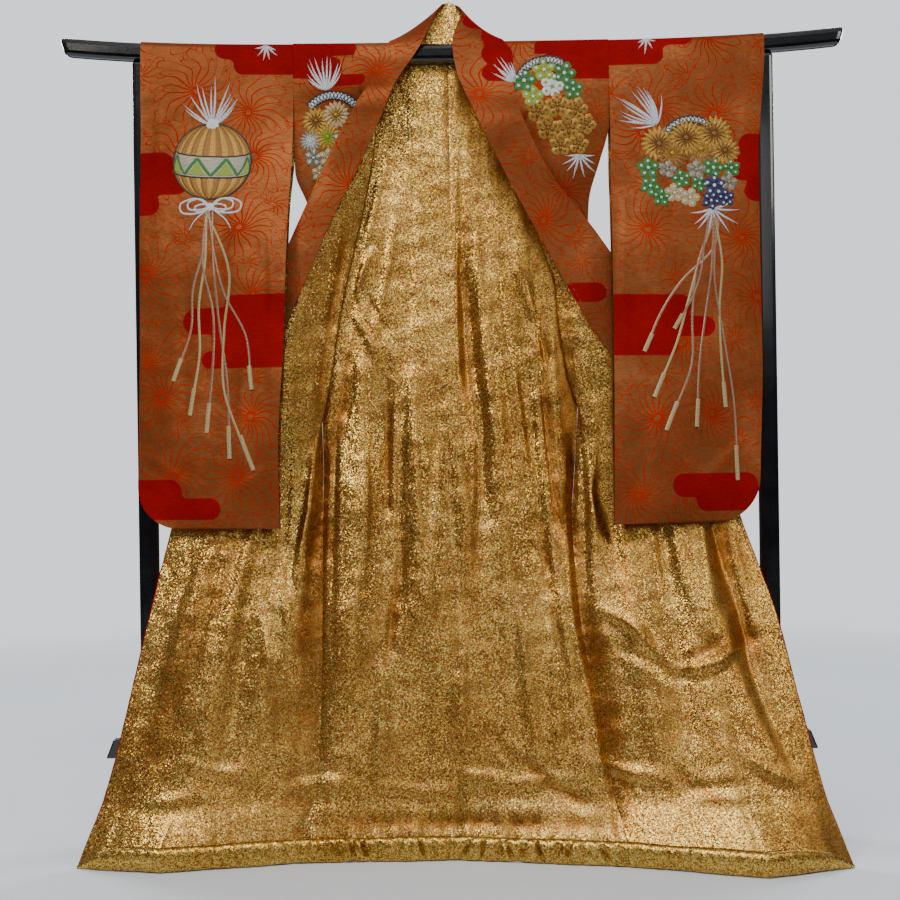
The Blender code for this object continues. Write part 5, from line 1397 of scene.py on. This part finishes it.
    def streamers(self, x, z, ends, seed):
        """Long hanging ribbons of gold and silver foil thread with square tips."""
        dice = random.Random(seed)
        for k, (end_x, end_z) in enumerate(ends):
            drop = z - end_z
            sway = dice.uniform(-0.018, 0.018)
            line = [(x + dice.uniform(-0.012, 0.012), z)]
            for share in (0.25, 0.5, 0.75):
                swing = sway * math.sin(share * 2.0 * math.pi) + 0.010 * dice.uniform(-1.0, 1.0)
                line.append((between(x, end_x, share ** 1.25) + swing, z - drop * share))
            line.append((end_x, end_z))
            self.band(line, RIBBON_WIDTH, (FOIL, CREAM, FOIL)[k % 3], 0.0010 + 0.0003 * k)
            tip = [between(line[-2][i], line[-1][i], 0.72) for i in (0, 1)]
            past = (2 * line[-1][0] - tip[0], 2 * line[-1][1] - tip[1])
            self.band([tip, line[-1], past], RIBBON_TIP_WIDTH, CREAM, 0.0018 + 0.0003 * k)

    def ball(self, x, z, radius, lean):
        """Thread ball: gold panels from pole to pole, and a zigzag band round its middle."""
        tip = math.radians(lean)

        def spot(longitude, latitude):
            flat_x = np.sin(longitude) * np.cos(latitude)
            flat_z = np.sin(latitude) - 0.16 * np.cos(longitude) * np.cos(latitude) ** 2
            return (x + radius * (flat_x * math.cos(tip) - flat_z * math.sin(tip)),
                    z + radius * (flat_x * math.sin(tip) + flat_z * math.cos(tip)))

        def panel(first, last, low, high, thread, columns=7, rows=7):
            longitude = np.linspace(first, last, columns)[None, :] + np.zeros((rows, 1))
            latitude = np.linspace(low, high, rows)[:, None] + np.zeros((1, columns))
            px, pz = spot(longitude, latitude)
            crown = crown_at(longitude, np.cos(latitude))
            seam = 0.0007 * np.sin(math.pi * np.linspace(0.0, 1.0, columns))[None, :]
            self.patch(px, pz, crown + seam - 0.0002, radius * latitude, radius * longitude, thread)

        half_turn = math.pi / 2.0
        edges = np.linspace(-half_turn, half_turn, 18)
        for k, (first, last) in enumerate(zip(edges, edges[1:])):
            shade = (GOLD, DEEP_GOLD)[k % 2]
            panel(first, last, 0.26, 1.40, shade)
            panel(first, last, -1.40, -0.30, shade)
        panel(-half_turn, half_turn, -0.32, 0.28, SILVER, columns=29)
        zig = np.linspace(-half_turn, half_turn, 9)
        for k, (first, last) in enumerate(zip(zig, zig[1:])):
            low, high = (-0.26, 0.22) if k % 2 == 0 else (0.22, -0.26)
            self.slant(spot, radius, first, last, low, high, GREEN)
            if k % 2 == 0 and k + 2 < len(zig):
                middle = zig[k + 1]
                self.wedge(spot, middle, 0.13, -0.24, zig[k + 2] - middle, LIME)
        for latitude in (-0.31, 0.27):
            lines = [spot(np.array(a), np.array(latitude)) for a in zig]
            self.rim(lines, latitude, BLACK)
        ring = [(x + radius * 1.01 * math.cos(a), z + radius * 1.01 * math.sin(a))
                for a in np.linspace(0.0, 2.0 * math.pi, 25)]
        self.band(ring, 0.0040, BLACK, 0.0014)

    def slant(self, spot, radius, first, last, low, high, thread):
        """One stroke of the ball's zigzag, lying on its round side."""
        t = np.linspace(0.0, 1.0, 7)[:, None]
        c = np.linspace(-1.0, 1.0, 3)[None, :]
        longitude = between(first, last, t) + 0.055 * c
        latitude = between(low, high, t) + 0.0 * c
        px, pz = spot(longitude, latitude)
        crown = crown_at(longitude)
        self.patch(px, pz, crown + 0.0014 - 0.0006 * c ** 2, radius * t + 0.0 * c,
                   radius * 0.05 * c + 0.0 * t, thread)

    def wedge(self, spot, middle, top, foot, half, thread):
        """Filled triangle between two strokes of the ball's zigzag."""
        t = np.linspace(0.04, 1.0, 6)[:, None]
        c = np.linspace(-1.0, 1.0, 5)[None, :]
        longitude = middle + half * 0.66 * t * c
        latitude = between(top, foot, t) + 0.0 * c
        px, pz = spot(longitude, latitude)
        crown = crown_at(longitude)
        self.patch(px, pz, crown + 0.0008 + 0.0 * t, 0.05 * t + 0.0 * c, 0.02 * c + 0.0 * t, thread)

    def rim(self, lines, latitude, thread):
        """Black cord along an edge of the ball's band, over its round side."""
        line = along_curve([(float(a), float(b)) for a, b in lines],
                           np.linspace(0.0, len(lines) - 1.001, 25))
        around = np.linspace(-math.pi / 2.0, math.pi / 2.0, 25)[:, None]
        c = np.linspace(-1.0, 1.0, 3)[None, :]
        crown = crown_at(around, math.cos(latitude))
        self.patch(line[:, :1] + 0.0 * c, line[:, 1:] + 0.0013 * c, crown + 0.0016 - 0.0006 * c ** 2,
                   0.1 * around + 0.0 * c, 0.0013 * c + 0.0 * around, thread)

    def trellis(self, x, z, radius, first, last, depth):
        """Black and white lattice along an arc, as on the rim of a basket."""
        angles = np.linspace(math.radians(first), math.radians(last), 15)
        for ring, thread in ((radius, BLACK), (radius - depth, BLACK), (radius - depth / 2.0, WHITE)):
            arc = [(x + ring * math.cos(a), z + ring * math.sin(a)) for a in angles]
            width, level = (0.0030, 0.0016) if thread == BLACK else (depth * 0.86, 0.0009)
            self.band(arc, width, thread, level)
        for a, b in zip(angles, angles[1:]):
            for start, end in ((radius, radius - depth), (radius - depth, radius)):
                stops = ((start, a), ((start + end) / 2.0, (a + b) / 2.0), (end, b))
                places = [(x + far * math.cos(way), z + far * math.sin(way)) for far, way in stops]
                self.band(places, 0.0019, BLACK, 0.0019)

    def bow(self, x, z, size, thread):
        """Flat bow of looped cord."""
        for side in (-1, 1):
            for grow, rise in ((1.0, 0.0), (0.74, 0.004), (0.5, -0.003)):
                loop = [(x, z), (x + side * 0.45 * size * grow, z + 0.30 * size * grow + rise),
                        (x + side * size * grow, z + 0.16 * size * grow + rise),
                        (x + side * 0.95 * size * grow, z - 0.16 * size * grow + rise),
                        (x + side * 0.42 * size * grow, z - 0.20 * size * grow + rise), (x, z)]
                self.band(loop, 0.0042, thread, 0.0018)
            tail = [(x, z), (x + side * 0.5 * size, z - 0.42 * size),
                    (x + side * 0.7 * size, z - 0.75 * size)]
            self.band(tail, 0.0046, thread, 0.0016, 0.4)
        self.knot(x, z, size * 0.14, thread, 0.0028)

    def set_on(self, name, cloths):
        """Embroidery as one object, each point at its height in front of the nearest cloth."""
        trees = [BVHTree.FromPolygons([v.co for v in cloth.data.vertices],
                                      [p.vertices for p in cloth.data.polygons]) for cloth in cloths]
        vertices = []
        last = -0.03 + bar_y
        for x, z, lift in self.points:
            hits = [tree.ray_cast(Vector((x, -1.5, z)), Vector((0.0, 1.0, 0.0)))[0] for tree in trees]
            depths = [hit.y for hit in hits if hit is not None]
            last = min(depths) if depths else last
            vertices.append((x, last - lift - bar_y, z))
        piece = finish_piece(name, vertices, self.faces, THREADS, self.slots, None, 40.0)
        layer = piece.data.uv_layers.new(name="thread_uv")
        uvs = np.array(self.uvs)[[loop.vertex_index for loop in piece.data.loops]]
        layer.data.foreach_set("uv", uvs.ravel())
        return piece


def embroider_left_sleeve(cloth):
    """Thread ball with a spray above, a bow below and long ribbons."""
    work = Needlework()
    work.spray(-0.499, 1.478, 158.0, 22.0, 12, 0.098, WHITE, 5)
    work.ball(-0.500, 1.403, 0.080, -3.0)
    work.knot(-0.499, 1.480, 0.013, WHITE, 0.0030)
    work.bow(-0.502, 1.306, 0.062, WHITE)
    work.streamers(-0.500, 1.298, [
        (-0.572, 0.972), (-0.540, 0.905), (-0.506, 0.872), (-0.462, 0.822), (-0.425, 0.800),
        (-0.418, 0.952)], 7)
    work.spray(-0.388, 1.650, 218.0, 322.0, 6, 0.040, WHITE, 9)
    return work.set_on("embroidery_sleeve_left", [cloth])


def embroider_right_sleeve(cloth):
    """Round bouquet of chrysanthemums and plums with sprays and long ribbons."""
    work = Needlework()
    work.spray(0.424, 1.470, 196.0, 74.0, 13, 0.100, WHITE, 15)
    work.trellis(0.492, 1.418, 0.068, 148.0, 40.0, 0.014)
    for x, z, radius, count, thread, inner, turn in (
            (0.425, 1.428, 0.040, 19, GOLD, DEEP_GOLD, 4.0),
            (0.482, 1.440, 0.041, 20, GOLD, DEEP_GOLD, 11.0),
            (0.540, 1.448, 0.040, 19, GOLD, DEEP_GOLD, 0.0), (0.452, 1.408, 0.036, 17, DEEP_GOLD, GOLD, 8.0),
            (0.512, 1.416, 0.038, 18, DEEP_GOLD, GOLD, 3.0),
            (0.562, 1.412, 0.032, 16, GOLD, DEEP_GOLD, 6.0)):
        work.chrysanthemum(x, z, radius, count, thread, inner, turn, 0.0016 + 0.0006 * (count % 3))
    for x, z, radius, thread, dots, turn in (
            (0.400, 1.376, 0.024, GREEN, WHITE, 90.0), (0.402, 1.336, 0.022, GREEN, WHITE, 60.0),
            (0.440, 1.374, 0.020, SILVER, CREAM, 75.0), (0.468, 1.352, 0.021, GREEN, WHITE, 100.0),
            (0.500, 1.372, 0.021, SILVER, CREAM, 84.0), (0.536, 1.376, 0.023, GREEN, WHITE, 70.0),
            (0.574, 1.376, 0.020, GREEN, WHITE, 96.0), (0.505, 1.342, 0.019, GREEN, WHITE, 66.0),
            (0.568, 1.346, 0.019, SILVER, CREAM, 80.0), (0.424, 1.312, 0.020, GREEN, WHITE, 85.0),
            (0.452, 1.322, 0.021, CREAM, WHITE, 92.0), (0.484, 1.312, 0.021, CREAM, WHITE, 72.0),
            (0.536, 1.338, 0.025, NAVY, WHITE, 88.0), (0.528, 1.306, 0.020, NAVY, WHITE, 64.0),
            (0.560, 1.312, 0.019, NAVY, WHITE, 98.0)):
        work.plum(x, z, radius, thread, dots, turn, 0.0034 if thread in (NAVY, SILVER) else 0.0026)
    work.spray(0.530, 1.290, 206.0, 366.0, 9, 0.070, WHITE, 19)
    work.streamers(0.532, 1.270, [
        (0.388, 1.012), (0.408, 0.925), (0.432, 0.862), (0.486, 0.868), (0.545, 0.905), (0.566, 0.766),
        (0.452, 1.055)], 23)
    work.spray(0.404, 1.654, 222.0, 318.0, 5, 0.034, WHITE, 29)
    return work.set_on("embroidery_sleeve_right", [cloth])


def embroider_left_body(cloth):
    """Flower ball partly under the collar, with a spray above it."""
    work = Needlework()
    work.spray(-0.262, 1.550, 168.0, 32.0, 11, 0.080, WHITE, 31)
    work.trellis(-0.250, 1.478, 0.070, 140.0, 42.0, 0.016)
    for x, z, radius, thread, inner in (
            (-0.286, 1.488, 0.030, GOLD, DEEP_GOLD), (-0.244, 1.500, 0.030, CREAM, GOLD),
            (-0.298, 1.446, 0.024, SILVER, WHITE), (-0.262, 1.455, 0.030, GOLD, LIME)):
        work.chrysanthemum(x, z, radius, 16, thread, inner, 20.0, 0.0018)
    for x, z, radius, thread in (
            (-0.292, 1.412, 0.019, SILVER), (-0.262, 1.412, 0.020, CREAM), (-0.232, 1.448, 0.021, SILVER),
            (-0.280, 1.380, 0.017, CREAM)):
        work.plum(x, z, radius, thread, WHITE, 84.0, 0.0030)
    return work.set_on("embroidery_body_left", [cloth])


def embroider_right_body(cloth):
    """Flower ball beside the collar, with leaves, gold plums and a spray below it."""
    work = Needlework()
    work.trellis(0.196, 1.545, 0.072, 155.0, 60.0, 0.015)
    for x, z, radius, thread, turn in (
            (0.148, 1.565, 0.026, GREEN, 80.0), (0.190, 1.588, 0.026, LIME, 96.0),
            (0.232, 1.580, 0.025, GREEN, 70.0), (0.166, 1.530, 0.024, LIME, 88.0),
            (0.206, 1.552, 0.025, WHITE, 75.0), (0.250, 1.545, 0.022, GREEN, 92.0)):
        work.plum(x, z, radius, thread, WHITE if thread != WHITE else LIME, turn, 0.0024)
    for x, z, radius, turn in (
            (0.176, 1.500, 0.026, 80.0), (0.216, 1.512, 0.027, 94.0), (0.256, 1.505, 0.025, 72.0),
            (0.196, 1.466, 0.026, 86.0), (0.238, 1.468, 0.027, 98.0), (0.276, 1.474, 0.022, 66.0),
            (0.222, 1.432, 0.024, 90.0), (0.260, 1.434, 0.022, 76.0)):
        work.plum(x, z, radius, GOLD, DEEP_GOLD, turn, 0.0030)
        work.plum(x, z, radius * 0.55, DEEP_GOLD, GOLD, turn + 36.0, 0.0046)
    work.spray(0.262, 1.412, 196.0, 340.0, 8, 0.052, WHITE, 37)
    return work.set_on("embroidery_body_right", [cloth])


def embroider_collar(cloth):
    """Spray of white leaves across the collar beside the right flower ball."""
    work = Needlework()
    work.spray(0.128, 1.560, 178.0, 82.0, 8, 0.062, WHITE, 43)
    return work.set_on("embroidery_collar", [cloth])


def stitch_tree():
    """Node tree that lays a running stitch along a mesh line, spaced, sized and seeded by inputs."""
    tree = bpy.data.node_groups.new("running_stitches", "GeometryNodeTree")
    add = partial(put, tree)
    sockets = tree.interface
    sockets.new_socket("Line", in_out="INPUT", socket_type="NodeSocketGeometry")
    for name in ("Spacing", "Stitch Length", "Thread Radius"):
        sockets.new_socket(name, in_out="INPUT", socket_type="NodeSocketFloat")
    sockets.new_socket("Seed", in_out="INPUT", socket_type="NodeSocketInt")
    sockets.new_socket("Thread", in_out="INPUT", socket_type="NodeSocketMaterial")
    sockets.new_socket("Stitches", in_out="OUTPUT", socket_type="NodeSocketGeometry")
    given = add("NodeGroupInput").outputs
    line = add("GeometryNodeMeshToCurve", {"Mesh": given["Line"]})
    marks = add("GeometryNodeResampleCurve", {"Curve": line, "Length": given["Spacing"]}, mode="LENGTH")
    stitch = add("GeometryNodeMeshCylinder",
                 {"Vertices": 6, "Radius": given["Thread Radius"], "Depth": given["Stitch Length"]})
    along = add("FunctionNodeAlignRotationToVector", {"Vector": add("GeometryNodeInputTangent")}, axis="Z")
    uneven = add("FunctionNodeRandomValue", {2: 0.75, 3: 1.2, "Seed": given["Seed"]}, data_type="FLOAT")
    laid = add("GeometryNodeInstanceOnPoints",
               {"Points": marks, "Instance": stitch, "Rotation": along, "Scale": uneven.outputs[1]})
    real = add("GeometryNodeRealizeInstances", {"Geometry": laid})
    dyed = add("GeometryNodeSetMaterial", {"Geometry": real, "Material": given["Thread"]})
    add("NodeGroupOutput", {"Stitches": dyed})
    return tree


def sew(name, lines, spacing, length, radius, seed, thread):
    """Running stitches along lines of points, as one plain mesh."""
    vertices, edges = [], []
    for line in lines:
        edges += [(len(vertices) + i, len(vertices) + i + 1) for i in range(len(line) - 1)]
        vertices += [tuple(point) for point in line]
    mesh = bpy.data.meshes.new(name + "_line")
    mesh.from_pydata(vertices, edges, [])
    guide = bpy.data.objects.new(name + "_line", mesh)
    bpy.context.scene.collection.objects.link(guide)
    modifier = guide.modifiers.new("stitches", "NODES")
    modifier.node_group = running_stitches
    values = {"Spacing": spacing, "Stitch Length": length, "Thread Radius": radius, "Seed": seed,
              "Thread": thread}
    for socket in running_stitches.interface.items_tree:
        if socket.name in values:
            modifier[socket.identifier] = values[socket.name]
    shown = guide.evaluated_get(bpy.context.evaluated_depsgraph_get())
    made = bpy.data.meshes.new_from_object(shown)
    places = [tuple(v.co) for v in made.vertices]
    faces = [tuple(p.vertices) for p in made.polygons]
    bpy.data.objects.remove(guide)
    bpy.data.meshes.remove(mesh)
    bpy.data.meshes.remove(made)
    return finish_piece(name, places, faces, (thread,), None, None, 45.0)


def sew_body(side, front):
    """Stitches beside the front edge and the overlap seam, and above the hem roll."""
    name = SIDE_NAMES[side]
    low = front[::-1]
    below = low[:, 0, 2] <= OKUMI_TOP_Z - 0.02
    toward = np.array((0.0, -0.0004, 0.0))
    edge = between(low[below, 0], low[below, 1], 0.75) + toward
    seam = between(low[below, OKUMI_COLUMNS], low[below, OKUMI_COLUMNS - 1], 0.6) + toward
    foot = low[2] + toward
    sew("edge_stitches_" + name, [edge[4:], seam[4:-6]], 0.0120, 0.0062, 0.00055, 3 + side, deep_gold_thread)
    sew("hem_stitches_" + name, [foot[1:-1]], 0.0120, 0.0066, 0.00060, 13 + side, deep_gold_thread)


running_stitches = stitch_tree()


def make_stage():
    """Round paper floor. It fades into a room of the same pale tone, so no wall hides the back."""
    angles = [math.tau * i / FLOOR_CORNERS for i in range(FLOOR_CORNERS)]
    vertices = [(FLOOR_RADIUS * math.cos(a), FLOOR_RADIUS * math.sin(a), 0.0) for a in angles]
    mesh = bpy.data.meshes.new("paper_floor")
    mesh.from_pydata(vertices, [], [tuple(range(FLOOR_CORNERS))])
    mesh.materials.append(make_paper_floor())
    floor = bpy.data.objects.new("paper_floor", mesh)
    bpy.context.scene.collection.objects.link(floor)


def add_lamp(name, place, target, size, power, colour):
    """Soft rectangular studio lamp that faces its target."""
    data = bpy.data.lights.new(name, "AREA")
    data.shape = "RECTANGLE"
    data.size, data.size_y = size
    data.energy = power
    data.color = linear(colour)[:3]
    lamp = bpy.data.objects.new(name, data)
    lamp.location = place
    lamp.rotation_euler = (Vector(target) - Vector(place)).to_track_quat("-Z", "Y").to_euler()
    bpy.context.scene.collection.objects.link(lamp)


def make_light():
    """Lamps above and on all sides, a room that is dark below for the foil to mirror, and a pale
    backdrop that only the camera sees."""
    world = bpy.data.worlds.new("studio_room")
    bpy.context.scene.world = world
    world.use_nodes = True
    world.node_tree.nodes.clear()
    add = partial(put, world.node_tree)
    way = add("ShaderNodeSeparateXYZ", {0: add("ShaderNodeTexCoord").outputs["Generated"]})
    tone = add("ShaderNodeMapRange", {0: way.outputs[2], 1: -1.0, 2: 1.0, 3: 0.0, 4: 1.0})
    colour = add("ShaderNodeValToRGB", {"Fac": tone},
                 stops=[(0.25, "#1c1a18"), (0.50, "#4a4d52"), (0.62, "#9aa0a6"), (0.85, "#ffffff")])
    room_light = add("ShaderNodeBackground", {"Color": colour, "Strength": 0.45})
    backdrop = add("ShaderNodeBackground", {"Color": linear("#f0f6fc"), "Strength": 1.33})
    seen = add("ShaderNodeMixShader", {
        0: add("ShaderNodeLightPath").outputs["Is Camera Ray"], 1: room_light, 2: backdrop})
    add("ShaderNodeOutputWorld", {"Surface": seen})
    add_lamp("key_lamp", (-1.7, bar_y - 2.4, 2.9), (0.0, bar_y, 0.8), (0.8, 0.8), 36.0, "#fff8ec")
    add_lamp("side_lamp", (2.4, bar_y - 1.9, 2.3), (0.0, bar_y, 0.7), (0.5, 1.2), 15.0, "#fffaf4")
    add_lamp("front_lamp", (0.5, bar_y - 4.3, 1.9), (0.0, bar_y, 0.6), (2.2, 1.0), 13.0, "#fbfaf6")
    add_lamp("floor_lamp", (0.0, bar_y - 2.6, 3.4), (0.0, bar_y - 0.8, 0.0), (2.4, 0.8), 58.0, "#f2f7ff")
    for side in (-1, 1):
        add_lamp("back_lamp_%d" % side, (1.9 * side, bar_y + 2.2, 2.6), (0.2 * side, bar_y + 0.3, 0.6),
                 (1.2, 1.2), 62.0, "#f7f8fb")


def make_camera():
    """Level camera opposite the middle of the kimono, 3 m from it, turned a little about its axis."""
    data = bpy.data.cameras.new("front_camera")
    data.sensor_width = 36.0
    data.lens = 57.24
    camera = bpy.data.objects.new("front_camera", data)
    camera.location = (-0.0168, bar_y - 3.0, 0.80)
    camera.rotation_euler = (math.radians(90.0), math.radians(0.83), 0.0)
    bpy.context.scene.collection.objects.link(camera)
    bpy.context.scene.camera = camera


make_camera()
make_light()
make_stage()
for name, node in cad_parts.items():
    if name.startswith("stand"):
        node.data.materials.clear()
        node.data.materials.append(lacquer)
silk_pieces = []
for side in (-1, 1):
    silk_body, lame_body, silk_overlap, lame_overlap = make_body(side)
    silk_pieces += [silk_body, silk_overlap, make_sleeve(side)]
    for lining in (lame_body, lame_overlap):
        add_hollow_shade(lining)
    if side == -1:
        embroider_left_sleeve(silk_pieces[-1])
        embroider_left_body(silk_body)
    else:
        embroider_right_sleeve(silk_pieces[-1])
        embroider_right_body(silk_body)
silk_pieces.append(make_collar())
embroider_collar(silk_pieces[-1])
for piece in silk_pieces:
    add_mist(piece)
make_hem_roll()

bpy.context.view_layer.update()
